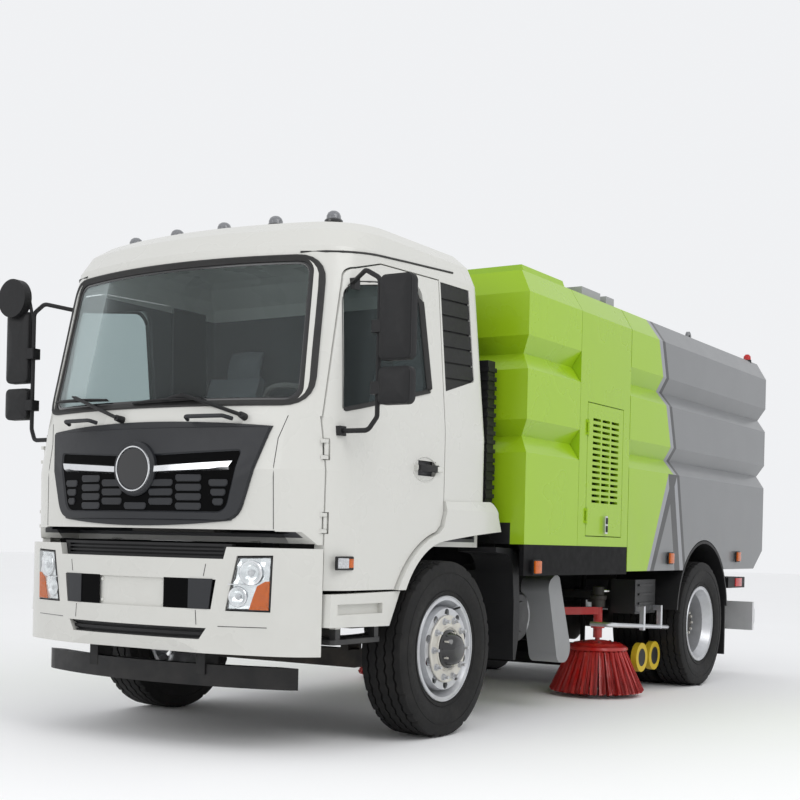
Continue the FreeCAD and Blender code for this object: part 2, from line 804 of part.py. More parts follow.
def dashboard():
    """Instrument panel across the cab with the steering column and wheel."""
    floor_top = cab_floor_z + cab_floor_thickness
    end_x = door_hinge_x - door_swing_radius_at_belt
    panel = prism_x([(-1400, 1500), (-880, 1500), (-860, 1640), (-960, 1780), (-1400, 1790)], -end_x, end_x)
    panel = panel.common(cab_solid(cab_wall + seat_gap))
    foot = box(-300, 300, -1100, -960, floor_top + seat_gap, 1510)
    wheel_center = Vector(seat_x - 20, -790, 1830)
    tilt = Vector(0, 0.55, 0.83).normalize()
    column = Part.makeCylinder(38, 330, wheel_center - tilt * 300, tilt)
    across = Vector(1, 0, 0)
    rim_face = Part.Face(ring_section(wheel_center + across * 215, tilt.cross(across), 16))
    rim = rim_face.revolve(wheel_center, tilt, 360)
    hub = Part.makeCylinder(62, 40, wheel_center - tilt * 20, tilt)
    spoke = Part.makeCylinder(15, 420, wheel_center - across * 210, across)
    down = tilt.cross(across)
    low_spoke = Part.makeCylinder(15, 210, wheel_center, down)
    return fused([panel, foot, column, rim, hub, spoke, low_spoke])


# Bumper, steps and lamps


def bumper_wire(inset, z):
    """Plan outline of the bumper, flatter in the middle than the cab above it."""
    return cab_wire(z, bumper_nose_y, bumper_half_width, 300, inset)


def bumper_ring(outer_inset, inner_inset, z0, z1):
    """Band that follows the bumper's plan, cut off at its side ends."""
    outer = Part.Face(bumper_wire(outer_inset, z0)).extrude(Vector(0, 0, z1 - z0))
    inner = Part.Face(bumper_wire(inner_inset, z0)).extrude(Vector(0, 0, z1 - z0))
    return outer.cut(inner).common(box(-1300, 1300, -1600, bumper_end_y, z0, z1))


def headlamp_outline(gap):
    return [(headlamp_inner_x - 25 + gap, headlamp_bottom_z + gap),
            (headlamp_outer_x - 8 - gap, headlamp_bottom_z + gap),
            (headlamp_outer_x - gap, headlamp_top_z - gap),
            (headlamp_inner_x + 35 + gap, headlamp_top_z - 6 - gap)]


def plate_bay(gap):
    """Wide opening between the headlamps for the vents and the blank plate."""
    return [(-plate_half_width + gap, plate_bottom_z + gap), (plate_half_width - gap, plate_bottom_z + gap),
            (plate_half_width + 26 - gap, plate_top_z - gap), (-plate_half_width - 26 + gap, plate_top_z - gap)]


def bumper_dip(gap):
    """Lower middle of the bumper's top edge, where a slatted strip stands."""
    half = bumper_dip_half_width - gap
    return [(-half, bumper_dip_z + gap), (half, bumper_dip_z + gap), (half + 28, bumper_top_z + 40),
            (-half - 28, bumper_top_z + 40)]


def low_slot(gap):
    return [(-455 + gap, 592 + gap), (455 - gap, 592 + gap), (496 - gap, 652 - gap), (-496 + gap, 652 - gap)]


def front_bumper():
    """Deep painted bumper with lamp pockets, vent openings and frame brackets."""
    band = bumper_ring(0, bumper_wall, bumper_bottom_z, bumper_top_z)
    foot = prism_x([(-1600, 480), (-1600, 560), (bumper_nose_y - 5, 640), (bumper_nose_y + 45, bumper_bottom_z),
                    (bumper_nose_y + 60, 480)], -1300, 1300)
    band = band.cut(foot).cut(prism_y(bumper_dip(0), -1700, -1000))
    for side in (1, -1):
        pocket = prism_y(headlamp_outline(0), -1700, -1000)
        band = band.cut(pocket if side > 0 else mirrored(pocket))
    band = band.cut(prism_y(plate_bay(0), -1700, -1000)).cut(prism_y(low_slot(0), -1700, -1000))
    plate = bumper_ring(14, bumper_wall, plate_bottom_z - 10, plate_top_z + 10)
    plate = plate.common(box(-265, 265, -1700, -1000, plate_bottom_z - 10, plate_top_z + 10))
    band = band.fuse(plate)
    for side in (1, -1):
        x = side * (rail_outer_x - 40)
        arm = box(x - 30, x + 30, -1400, rail_front_y, 930, 1010)
        arm = arm.fuse(box(x - 30, x + 30, rail_front_y - 40, rail_front_y, 760, 1010))
        inside = Part.Face(bumper_wire(bumper_wall - 4, 700)).extrude(Vector(0, 0, 400))
        band = band.fuse(arm.common(inside))
    return largest(band.removeSplitter())


def bumper_grilles():
    """Black slatted inserts: two vents by the plate, the low slot and the gap under the cab."""
    pieces = []
    for side in (1, -1):
        insert = bumper_ring(24, bumper_wall, plate_bottom_z, plate_top_z)
        insert = insert.common(prism_y(plate_bay(seat_gap), -1700, -1000))
        low, high = sorted((side * (265 + seat_gap), side * 600))
        insert = insert.common(box(low, high, -1700, -1000, 700, 1000))
        for row in range(3):
            z = plate_bottom_z + 28 + row * 42
            insert = insert.cut(bumper_ring(-50, 42, z, z + 22))
        pieces.append(largest(insert))
    slot = bumper_ring(22, bumper_wall, 580, 660).common(prism_y(low_slot(seat_gap), -1700, -1000))
    slot = slot.cut(bumper_ring(-50, 40, 600, 612)).cut(bumper_ring(-50, 40, 628, 640))
    pieces.append(largest(slot))
    upper = bumper_ring(40, 70, bumper_dip_z + seat_gap, bumper_top_z + 15)
    upper = upper.common(prism_y(bumper_dip(seat_gap), -1700, -1000))
    for row in range(3):
        z = bumper_dip_z + 14 + row * 20
        upper = upper.cut(bumper_ring(20, 60, z, z + 10).common(box(-560, 560, -1700, -1000, z, z + 10)))
    pieces.append(largest(upper))
    return Part.makeCompound(pieces)


def lamps():
    """Head, tail and side marker lamps."""
    head = bumper_ring(8, bumper_wall + 20, headlamp_bottom_z, headlamp_top_z)
    head = largest(head.common(prism_y(headlamp_outline(seat_gap), -1700, -1000)))
    pieces = [head, mirrored(head)]
    for side in (1, -1):
        tail = box(1010, 1205, 4705, 5150, 790, 885)
        stay = box(rail_outer_x + seat_gap, 1010, 4860, 4930, 810, 865)
        unit = fused([tail, stay])
        pieces.append(unit if side > 0 else mirrored(unit))
        marker = box(body_half_width + seat_gap, body_half_width + 22, 815, 900, 945, 1028)
        pieces.append(marker if side > 0 else mirrored(marker))
    return Part.makeCompound(pieces)


def underrun_bars():
    """Black bar under the bumper and the ribbed profile across the rear."""
    bar = bumper_ring(110, 170, 339, 453).common(box(-985, 985, -1600, -1020, 300, 500))
    front = [bar]
    for side in (1, -1):
        x = side * (rail_outer_x - 40)
        hanger = box(x - 30, x + 30, -1290, rail_front_y - seat_gap, 400, 760 - seat_gap)
        front.append(hanger)
    front_bar = largest(fused(front))
    section = [(5410, 392), (5455, 392), (5455, 445), (5480, 470), (5480, 575), (5455, 600), (5455, 652),
               (5410, 652)]
    rear = prism_x(section, -1200, 1200)
    pieces = [rear]
    for side in (1, -1):
        x = side * (rail_outer_x - 40)
        pieces.append(prism_x([(rail_rear_y + seat_gap, rail_top - 230), (rail_rear_y + seat_gap, rail_top - 110),
                               (5412, 640), (5412, 480)], x - 30, x + 30))
    return Part.makeCompound([front_bar, fused(pieces)])


def cab_steps():
    """Painted side panel and open lower step under each door, on an arm from the frame."""
    panel = prism_x([(-1100, 842), (-445, 850), (-548, 662), (-1108, 672)], 1035, 1090)
    slot = box(1060, 1100, -1040, -620, 735, 790)
    panel = panel.cut(slot)
    tread = rounded(box(900, 1085, -1070, -620, 580, 606), Vector(0, 0, 1), 20)
    holes = [box(930, 1050, y, y + 30, 570, 620) for y in range(-1030, -660, 60)]
    tread = tread.cut(Part.makeCompound(holes))
    links = [box(1040, 1080, y, y + 40, 600, 680) for y in (-1040, -680)]
    arms = [box(rail_outer_x + seat_gap, 1040, y, y + 50, 700, 750) for y in (-980, -830)]
    inner_step = box(960, 1040, -1060, -600, 806, 836)
    risers = [box(990, 1040, y, y + 50, 740, 810) for y in (-980, -830)]
    shape = fused([panel, tread, inner_step] + links + arms + risers)
    return both_sides(shape)


# Wheels


def tyre(x):
    """Tyre with flat tread, square shoulders and swelling side walls."""
    half = tyre_width / 2
    profile = [(-0.33 * tyre_width, bead_radius + seat_gap), (-half, bead_radius + 115), (-half + 22, tyre_radius)]
    mirrored_half = [(-offset, radius) for offset, radius in reversed(profile)]
    return revolve_x(profile + mirrored_half, x, 0, tyre_radius)


def rim_profile(disc_out, hub_radius):
    """Closed half section: wheel flanges, drop well, and a dished disc to the hub face."""
    half = rim_width / 2
    seat = bead_radius
    well = bead_radius - 32
    inside = well - rim_wall
    seat_x = half - 25
    well_x = half - 70
    plain = hand_hole_circle + hand_hole_radius + 3
    return [
        (-half, rim_flange_radius), (-half + 12, rim_flange_radius), (-seat_x, seat), (-well_x, well),
        (well_x, well), (seat_x, seat), (half - 12, rim_flange_radius), (half, rim_flange_radius),
        (half, seat - 4), (half - 66, inside), (disc_out - 34, inside), (disc_out, plain),
        (disc_out, hub_radius), (disc_out - 14, hub_radius), (disc_out - 14, plain - 2),
        (disc_out - 50, inside - 10), (-well_x - 4, inside), (-half, seat - 4),
    ]


def stud_ring(x, length, direction):
    """Ring of wheel nuts on one face."""
    nuts = []
    for number in range(stud_count):
        angle = math.radians(360 / stud_count * number)
        y = stud_circle_radius * math.cos(angle)
        z = tyre_radius + stud_circle_radius * math.sin(angle)
        low, high = sorted((x, x + direction * length))
        nuts.append(cylinder_x(y, z, stud_radius, low, high))
    return nuts


def wheel_disc_holes(x0, x1):
    holes = []
    for number in range(stud_count):
        angle = math.radians(360 / stud_count * (number + 0.5))
        holes.append(cylinder_x(hand_hole_circle * math.cos(angle),
                                tyre_radius + hand_hole_circle * math.sin(angle), hand_hole_radius, x0, x1))
    return Part.makeCompound(holes)


def front_rim():
    """Disc wheel with its face outboard, hub drum, wheel nuts and a domed cap."""
    face = rim_width / 2 + 6
    wheel = revolve_x(rim_profile(face, 110), front_wheel_x, 0, tyre_radius)
    outer = front_wheel_x + face
    wheel = wheel.cut(wheel_disc_holes(outer - 20, outer + 5))
    hub = revolve_x([(-52, 52), (-52, 150), (-14, 190), (-14, 200), (0, 110), (0, 96), (62, 78), (74, 60),
                     (78, 0), (60, 0), (58, 52)], outer, 0, tyre_radius)
    bore = cylinder_x(0, tyre_radius, 42 + pin_clearance, outer - 60, outer + 40)
    return fused([wheel, hub.cut(bore)] + stud_ring(outer, 34, 1))


def rear_rims():
    """Two disc wheels back to back on one hub, with the drum behind."""
    spacing = twin_spacing / 2
    outer_x = twin_outer_x
    axle_radius = rear_axle_radius + pin_clearance
    middle = outer_x - spacing
    inner_x = outer_x - twin_spacing
    outer_wheel = revolve_x(flip(rim_profile(spacing, 120)), outer_x, 0, tyre_radius)
    inner_wheel = revolve_x(rim_profile(spacing, 120), inner_x, 0, tyre_radius)
    holes = wheel_disc_holes(middle - 20, middle + 20)
    hub = revolve_x([(-60, axle_radius), (-60, 150), (-14, 186), (14, 186), (14, 125), (130, 115), (150, 100),
                     (158, 30), (120, 30), (100, axle_radius)], middle, 0, tyre_radius)
    cap = cylinder_x(0, tyre_radius, 32, middle + 122, middle + 156)
    wheels = outer_wheel.cut(holes).fuse(inner_wheel.cut(holes)).fuse(hub).fuse(cap)
    return fused([wheels.removeSplitter()] + stud_ring(middle + 14, 40, 1))


def flip(profile):
    return [(-offset, radius) for offset, radius in reversed(profile)]


def rear_tyres():
    return Part.makeCompound([tyre(twin_outer_x), tyre(twin_outer_x - twin_spacing)])


def knuckle():
    """Stub axle with a fork round the beam's kingpin eye and a steering arm."""
    bore = cylinder_z(kingpin_x, 0, kingpin_radius + pin_clearance, 380, 630)
    upper = cylinder_z(kingpin_x, 0, 46, 566, 612)
    lower = cylinder_z(kingpin_x, 0, 46, 398, 444)
    plate = box(kingpin_x + 64, kingpin_x + 96, -60, 60, 398, 612)
    ears = [box(kingpin_x, kingpin_x + 70, -40, 40, low, low + 46) for low in (398, 566)]
    spindle = cylinder_x(0, tyre_radius, 42, kingpin_x + 90, front_wheel_x + 140)
    arm = box(kingpin_x - 20, kingpin_x + 20, 30, 170, 404, 434)
    return fused([upper, lower, plate, spindle, arm] + ears).cut(bore)


# Sweeper body


def grooved_section(depth_in):
    """Cross section of the body with its two vee grooves, drawn in by one thickness."""
    wide = body_half_width - depth_in
    deep = wide - groove_depth
    side = [
        (wide, hopper_bottom_z - 50), (wide, lower_panel_top_z), (deep, lower_groove_z),
        (wide, lower_ridge_low_z), (wide, lower_ridge_top_z), (deep, upper_groove_z),
        (wide, upper_ridge_low_z), (wide, shoulder_z - depth_in * 0.4),
        (roof_half_width - depth_in * 0.6, roof_z - depth_in),
    ]
    return side + [(-x, z) for x, z in reversed(side)]


def plain_section(depth_in, low):
    wide = body_half_width - depth_in
    side = [(wide, low), (wide, shoulder_z - depth_in * 0.4), (roof_half_width - depth_in * 0.6, roof_z - depth_in)]
    return side + [(-x, z) for x, z in reversed(side)]


def front_module():
    """Grooved tank section behind the cab; the grooves turn the corner onto its front face."""
    length = prism_y(grooved_section(0), module_front_y - 10, first_seam_y - panel_gap / 2)
    front = module_front_y
    deep = front + groove_depth
    side = [
        (front, panel_bottom_z), (front, lower_panel_top_z), (deep, lower_groove_z), (front, lower_ridge_low_z),
        (front, lower_ridge_top_z), (deep, upper_groove_z), (front, upper_ridge_low_z), (front, shoulder_z),
        (front + 60, roof_z + 5), (first_seam_y, roof_z + 5), (first_seam_y, panel_bottom_z),
    ]
    block = length.common(prism_x(side, -1300, 1300))
    under = box(-1150, 1150, module_front_y + 60, first_seam_y + 5, panel_bottom_z - 5, panel_bottom_z + 60)
    block = block.cut(under)
    pieces = [block] + frame_sleepers((960, 1360), panel_bottom_z + 60)
    return fused(pieces)


def frame_sleepers(ys, top):
    """Cross bearers between a module's floor and the frame rails."""
    return [box(-1120, 1120, y - 35, y + 35, rail_top + seat_gap, top + 4) for y in ys]


def access_opening(gap):
    return (1620 - gap, 2217 + gap, 1197 - gap, 2100 + gap)


def middle_module():
    """Hollow flush-sided section for the second engine, with an access opening each side."""
    start = first_seam_y + panel_gap / 2
    end = second_seam_y - panel_gap / 2
    shell = prism_y(plain_section(0, panel_bottom_z), start, end)
    hollow = prism_y(plain_section(45, panel_bottom_z + 70), start + 45, end - 45)
    shell = shell.cut(hollow)
    y0, y1, z0, z1 = access_opening(running_gap)
    for side in (1, -1):
        low, high = sorted((side * 1150, side * 1300))
        shell = shell.cut(box(low, high, y0, y1, z0, z1))
        low, high = sorted((side * (body_half_width - 34), side * 1300))
        shell = shell.cut(box(low, high, y0, y1, z0, z1))
        low, high = sorted((side * (body_half_width - 45), side * (body_half_width - 36)))
        lip = box(low, high, y1 - 40, y1, z0, z1)
        shell = shell.fuse(lip)
    for side in (1, -1):
        for z in (1330, 1930):
            shell = shell.cut(cylinder_z(side * access_hinge_x, access_hinge_y, 16, z - 36, z + 36))
    pieces = [shell] + frame_sleepers((1600, 2230), panel_bottom_z)
    for side in (1, -1):
        for z in (1330, 1930):
            pin = cylinder_z(side * access_hinge_x, access_hinge_y, 6, z - 52, z + 52)
            lugs = [cylinder_z(side * access_hinge_x, access_hinge_y, 10, low, low + 20) for low in (z - 52, z + 32)]
            low, high = sorted((side * (access_hinge_x - 14), side * (access_hinge_x - 2)))
            arms = [box(low, high, access_hinge_y - 24, access_hinge_y, start_z, start_z + 20)
                    for start_z in (z - 52, z + 32)]
            pieces += [pin] + lugs + arms
    return fused(pieces)


def access_door(side):
    """Louvred engine access door with its hinge eyes."""
    y0, y1, z0, z1 = access_opening(0)
    leaf = box(body_half_width - 30, body_half_width, y0, y1, z0, z1)
    slots = []
    for column in range(3):
        for row in range(15):
            y = 1706 + column * 154
            z = 1424 + row * 40
            slots.append(box(body_half_width - 40, body_half_width + 5, y, y + 130, z, z + 18))
    leaf = leaf.cut(Part.makeCompound(slots))
    pieces = [leaf]
    for z in (1330, 1930):
        pocket = cylinder_z(access_hinge_x, access_hinge_y, 18, z - 60, z + 60)
        pieces[0] = pieces[0].cut(pocket)
    for z in (1330, 1930):
        pieces.append(cylinder_z(access_hinge_x, access_hinge_y, 10, z - 30, z + 30))
        pieces.append(box(access_hinge_x - 12, access_hinge_x, access_hinge_y, access_hinge_y + 30, z - 30, z + 30))
    leaf = fused(pieces)
    for z in (1330, 1930):
        leaf = leaf.cut(cylinder_z(access_hinge_x, access_hinge_y, 6 + pin_clearance, z - 40, z + 40))
    return leaf if side > 0 else mirrored(leaf)


def auxiliary_engine():
    """Second engine that drives the fan, as one plain block."""
    return box(-420, 420, 1640, 2200, panel_bottom_z + 70 + seat_gap, 1960)


def body_skirts():
    """Black skirt under both front modules, on each side and across the front."""
    side_plate = box(body_half_width - 30, body_half_width, module_front_y, second_seam_y - panel_gap,
                     skirt_bottom_z, panel_bottom_z - seat_gap)
    ribs = [box(1120 + seat_gap, body_half_width - 30, y - 20, y + 20, 990, 1060) for y in (960, 1360, 1600, 2230)]
    return both_sides(fused([side_plate] + ribs))


def roof_hatches():
    """Raised hood and two lids on the roof of the modules."""
    hood = prism_y([(-1040, roof_z + seat_gap), (1040, roof_z + seat_gap), (1000, 2955), (-1000, 2955)], 1075, 1690)
    lids = []
    for side in (1, -1):
        for y0, y1 in ((1770, 2080), (2180, 2320)):
            low, high = sorted((side * 850, side * 1110))
            lids.append(box(low, high, y0, y1, roof_z + seat_gap, 2925))
    return Part.makeCompound([hood] + lids)


def hopper_shell():
    """Tipping container with grooved sides, wheel arches, floor and tipping lugs; open at the rear."""
    start = second_seam_y + panel_gap / 2 + 4
    outer = prism_y(grooved_section(0), start, hopper_rear_y)
    outline = [(start - 5, hopper_bottom_z), (rear_bevel_y, hopper_bottom_z + 10), (hopper_rear_y, panel_bottom_z),
               (hopper_rear_y, roof_z + 5), (start - 5, roof_z + 5)]
    outer = outer.common(prism_x(outline, -1300, 1300))
    cavity = prism_y(grooved_section(body_wall), start + body_wall, hopper_rear_y + 10)
    cavity = cavity.common(box(-1300, 1300, start, hopper_rear_y + 10, hopper_floor_z + 56, roof_z))
    underneath = box(-1150, 1150, start - 5, hopper_rear_y + 10, 900, hopper_floor_z)
    side_gap = box(-body_half_width + 30, body_half_width - 30, start + 60, rear_bevel_y, 900, hopper_floor_z)
    arch = cylinder_x(wheelbase, arch_center_z, arch_radius, -1300, 1300)
    shell = outer.cut(cavity).cut(underneath).cut(side_gap)
    inner_arch = cylinder_x(wheelbase, arch_center_z, arch_radius + 46, 560, body_half_width - 10)
    housings = inner_arch.fuse(mirrored(inner_arch))
    housings = housings.common(box(-1300, 1300, 3000, 5000, hopper_floor_z + 2, 1400))
    shell = shell.fuse(housings).cut(arch.common(box(-1300, 1300, 3000, 5000, 0, 1300)))
    pieces = [largest(shell)]
    for side in (1, -1):
        pieces.append(lifting_eye(side))
        beam_low, beam_high = sorted((side * (rail_outer_x - rail_flange), side * rail_outer_x))
        pieces.append(box(beam_low, beam_high, start + 60, rail_rear_y - 140, rail_top + seat_gap, hopper_floor_z + 4))
        pieces.append(tip_lug(side))
        pieces.append(rear_door_eyes(side))
    return largest(fused(pieces))


def lifting_eye(side):
    """Plate on the hopper roof with a hole for a crane shackle."""
    low, high = sorted((side * (lifting_eye_x - 10), side * (lifting_eye_x + 10)))
    y = lifting_eye_y
    plate = prism_x([(y - 70, roof_z - 10), (y + 70, roof_z - 10), (y + 45, lifting_eye_z),
                     ((y, lifting_eye_z + 45), (y - 45, lifting_eye_z))], low, high)
    return plate.cut(cylinder_x(y, lifting_eye_z, lifting_eye_radius, low, high))


def tip_lug(side):
    """Ear of the hopper on the tipping pin."""
    x0 = rail_outer_x + 10
    eye = cylinder_x(tip_axis_y, tip_axis_z, 56, x0, x0 + 60)
    arm = prism_x([(tip_axis_y - 56, tip_axis_z), (tip_axis_y + 56, tip_axis_z), (tip_axis_y + 70, hopper_floor_z + 4),
                   (tip_axis_y - 90, hopper_floor_z + 4)], x0, x0 + 60)
    bore = cylinder_x(tip_axis_y, tip_axis_z, tip_pin_radius + pin_clearance, x0 - 5, x0 + 70)
    lug = eye.fuse(arm).cut(bore)
    return lug if side > 0 else mirrored(lug)


def rear_door_eyes(side):
    """Hinge pin lugs for the rear door under the hopper's roof edge."""
    y = rear_door_hinge_y
    z = rear_door_hinge_z
    pieces = []
    for x in (700, 960):
        pieces.append(cylinder_x(y, z, 26, x, x + 40))
        pieces.append(prism_x([(hopper_rear_y - 60, z + 18), (y, z + 26), (y + 20, z + 16), (y + 4, roof_z - 30),
                               (hopper_rear_y - 20, roof_z - 4), (hopper_rear_y - 60, roof_z - 4)], x, x + 40))
    pieces.append(cylinder_x(y, z, rear_door_hinge_radius, 700, 1000))
    shape = pieces[0].multiFuse(pieces[1:])
    return shape if side > 0 else mirrored(shape)


def rear_door():
    """Full-width top-hinged door with pressed ribs and hinge arms."""
    half = body_half_width - body_wall - groove_depth - running_gap
    top = rear_door_hinge_z - 50
    bottom = hopper_floor_z + 56 + running_gap
    y1 = hopper_rear_y - 4
    leaf = box(-half, half, y1 - rear_door_thickness, y1, bottom, top)
    pieces = [leaf]
    for x in (-800, -400, 0, 400, 800):
        pieces.append(prism_z([(x - 50, y1), (x + 50, y1), (x + 34, y1 + 26), (x - 34, y1 + 26)],
                              bottom + 60, top - 120))
    for side in (1, -1):
        x0, x1 = sorted((side * 790, side * 910))
        arm = prism_x([(y1 - 20, top - 90), (y1 + 30, top - 90), (rear_door_hinge_y + 24, rear_door_hinge_z),
                       (rear_door_hinge_y - 24, rear_door_hinge_z), (y1 - 20, top - 4)], x0, x1)
        eye = cylinder_x(rear_door_hinge_y, rear_door_hinge_z, 26, x0, x1)
        pieces += [arm, eye]
    door = fused(pieces)
    for side in (1, -1):
        x0, x1 = sorted((side * 780, side * 920))
        door = door.cut(cylinder_x(rear_door_hinge_y, rear_door_hinge_z,
                                   rear_door_hinge_radius + pin_clearance, x0, x1))
    return door


# Under the body


def mudguards():
    """Flap behind each front wheel and liner with flap round each rear twin."""
    front = prism_x([(540, 1105), (700, 1100), ((800, 1072), (848, 980)), (872, 760), (872, 560), (830, 395),
                     (800, 395), (792, 560), (792, 760), (770, 940), ((735, 1030), (650, 1066)), (540, 1074)],
                    880, 1150)
    stay = box(rail_outer_x + seat_gap, 900, 800, 850, 760, 820)
    pieces = [fused([front, stay])]
    inner = arch_radius - 30
    ring = cylinder_x(wheelbase, arch_center_z, arch_radius - 8, 640, body_half_width)
    ring = ring.cut(cylinder_x(wheelbase, arch_center_z, inner, 630, body_half_width + 5))
    ring = ring.cut(box(600, 1300, wheelbase - 700, wheelbase + 700, 0, 640))
    flap = box(660, 1240, wheelbase + 560, wheelbase + 582, 225, 700)
    stays = [box(rail_outer_x + seat_gap, 700, y - 20, y + 20, 860, 900)
             for y in (wheelbase - 520, wheelbase + 520)]
    pieces.append(fused([ring, flap] + stays))
    return Part.makeCompound([side for piece in pieces for side in (piece, mirrored(piece))])


def side_units():
    """Cast cover, round ribbed canister and ribbed box hung outside the rails."""
    cover = prism_x([(1420, 905), ((1470, 925), (1530, 905)), (1700, 480), ((1690, 360), (1590, 330)),
                     ((1530, 345), (1500, 400)), (1375, 800), ((1380, 880), (1420, 905))], 900, 1110)
    cover_stay = box(rail_outer_x + seat_gap, 910, 1500, 1560, 700, 760)
    canister = revolve_x([(0, 0), (0, 150), (20, 160), (150, 160), (162, 140), (166, 100), (176, 96), (180, 0)],
                         900, 1050, 660)
    canister_stay = box(rail_outer_x + seat_gap, 905, 1020, 1080, 700, 760)
    case = box(930, 1130, 2800, 3200, 620, 880)
    ribs = [box(1128, 1140, 2860, 3140, z, z + 16) for z in (690, 760, 830)]
    case_stay = box(rail_outer_x + seat_gap, 935, 2960, 3040, 720, 780)
    left = [fused([cover, cover_stay]), fused([canister, canister_stay]), fused([case, case_stay] + ribs)]
    return Part.makeCompound(left + [mirrored(piece) for piece in left])


def side_guides():
    """Bright tube rail between the brush and the rear wheel, on straps from the ribbed box."""
    rail = tube([(1000, 2290, 560), (1180, 2290, 560), (1180, 3390, 500), (960, 3390, 500)], 17, 60)
    pieces = [rail]
    for y in (2816, 3160):
        pieces.append(box(1163, 1197, y, y + 34, 500, 680))
        pieces.append(box(1130 + seat_gap, 1197, y, y + 34, 640, 680))
    return both_sides(fused(pieces))


def air_intake():
    """Corrugated intake duct standing behind the cab."""
    core = box(935, 1055, 560, 650, 1180, 2260)
    ribs = [box(925, 1065, 552, 658, z, z + 26) for z in range(1240, 2220, 56)]
    foot = box(960, 1030, 640, module_front_y - seat_gap, 1240, 1300)
    top = box(960, 1030, 640, module_front_y - seat_gap, 1560, 1620)
    return fused([core, foot, top] + ribs)


def brush_arm():
    """Swing arm from its pivot bracket out to the brush motor."""
    z = brush_arm_z
    boss = cylinder_z(brush_arm_x, brush_arm_y, 60, z - 40, z + 40)
    reach = Vector(brush_x - brush_arm_x, brush_y - brush_arm_y, 0)
    length = reach.Length
    along = reach * (1 / length)
    across = Vector(-along.y, along.x, 0)
    base = Vector(brush_arm_x, brush_arm_y, 0)
    tip = Vector(brush_x, brush_y, 0)
    corners = [base + across * 42, tip + across * 28, tip - across * 28, base - across * 42]
    bar = prism_z([(corner.x, corner.y) for corner in corners], z - 28, z + 28)
    post = cylinder_z(brush_x, brush_y, 34, brush_plate_z + 60, z + 110)
    shape = fused([boss, bar, post])
    shape = shape.cut(cylinder_z(brush_arm_x, brush_arm_y, 26 + pin_clearance, z - 60, z + 60))
    return shape.cut(cylinder_z(brush_x, brush_y, brush_spindle_radius + pin_clearance,
                                brush_plate_z, brush_plate_z + 160))


def brush_bracket():
    """Bracket on the rail with the brush arm's pivot pin."""
    plate = box(rail_outer_x + seat_gap, brush_arm_x, brush_arm_y - 50, brush_arm_y + 50, 712, 790)
    cap = cylinder_z(brush_arm_x, brush_arm_y, 60, brush_arm_z + 46, 790)
    pin = cylinder_z(brush_arm_x, brush_arm_y, 26, brush_arm_z - 52, 760)
    return fused([plate, cap, pin])


def brush_brackets():
    return both_sides(brush_bracket())


def side_brush():
    """Disc with a flared ring of bristle tufts under a domed plate."""
    plate = revolve_z([(0, brush_plate_z - 30), (brush_plate_radius, brush_plate_z - 30),
                       (brush_plate_radius, brush_plate_z - 12), (brush_plate_radius - 50, brush_plate_z + 22),
                       (70, brush_plate_z + 40), (0, brush_plate_z + 40)], brush_x, brush_y)
    spindle = cylinder_z(brush_x, brush_y, brush_spindle_radius, brush_plate_z, brush_plate_z + 150)
    tufts = []
    for number in range(brush_tufts):
        angle = 360 / brush_tufts * number
        tuft = prism_y([(brush_plate_radius - 50, brush_plate_z - 25), (brush_plate_radius - 16, brush_plate_z - 25),
                        (brush_tip_radius, brush_ground_gap + 10), (brush_tip_radius - 60, brush_ground_gap)],
                       -11, 11)
        tuft.rotate(Vector(0, 0, 0), Vector(0, 0, 1), angle)
        tuft.translate(Vector(brush_x, brush_y, 0))
        tufts.append(tuft)
    return fused([plate, spindle] + tufts)


def suction_nozzle():
    """Wide suction mouth in its raised place, with lift rods and outlet pipe."""
    y0 = nozzle_y - 170
    y1 = nozzle_y + 170
    half = nozzle_half_width
    hood = prism_x([(y0, nozzle_low_z), (y0, nozzle_low_z + 90), (y0 + 90, nozzle_low_z + 170),
                    (y1 - 60, nozzle_low_z + 170), (y1, nozzle_low_z + 80), (y1, nozzle_low_z)], -half, half)
    mouth = prism_x([(y0 + 14, nozzle_low_z - 1), (y0 + 14, nozzle_low_z + 84), (y0 + 96, nozzle_low_z + 156),
                     (y1 - 66, nozzle_low_z + 156), (y1 - 14, nozzle_low_z + 74), (y1 - 14, nozzle_low_z - 1)],
                    -half + 16, half - 16)
    pieces = [hood.cut(mouth)]
    for side in (1, -1):
        x = side * lift_rod_x
        pieces.append(cylinder_z(x, nozzle_y, lift_rod_radius, nozzle_low_z + 160, 960))
        for y in nozzle_wheel_ys:
            low, high = sorted((side * (half - 10), side * (half + 16)))
            pieces.append(box(low, high, y - 26, y + 26, nozzle_wheel_z - 30, nozzle_low_z + 90))
    pipe = cylinder_z(-suction_x, nozzle_y, suction_radius, nozzle_low_z + 150, 880)
    pipe_hole = cylinder_z(-suction_x, nozzle_y, suction_radius - 6, nozzle_low_z + 100, 890)
    shape = fused(pieces + [pipe]).cut(pipe_hole)
    for side in (1, -1):
        for y in nozzle_wheel_ys:
            low, high = sorted((side * (half - 20), side * (half + 30)))
            shape = shape.cut(cylinder_x(y, nozzle_wheel_z, 12 + pin_clearance, low, high))
    return shape


def nozzle_wheels(y):
    """Pair of guide wheels at one edge of the nozzle with their cross shaft ends."""
    wheels = []
    for side in (1, -1):
        x = side * (nozzle_half_width + 22)
        low, high = sorted((x, x + side * nozzle_wheel_width))
        wheel = cylinder_x(y, nozzle_wheel_z, nozzle_wheel_radius, low, high)
        low, high = sorted((side * (nozzle_half_width - 10), x + side * 10))
        axle = cylinder_x(y, nozzle_wheel_z, 12, low, high)
        wheels.append(fused([wheel, axle]))
    return Part.makeCompound(wheels)


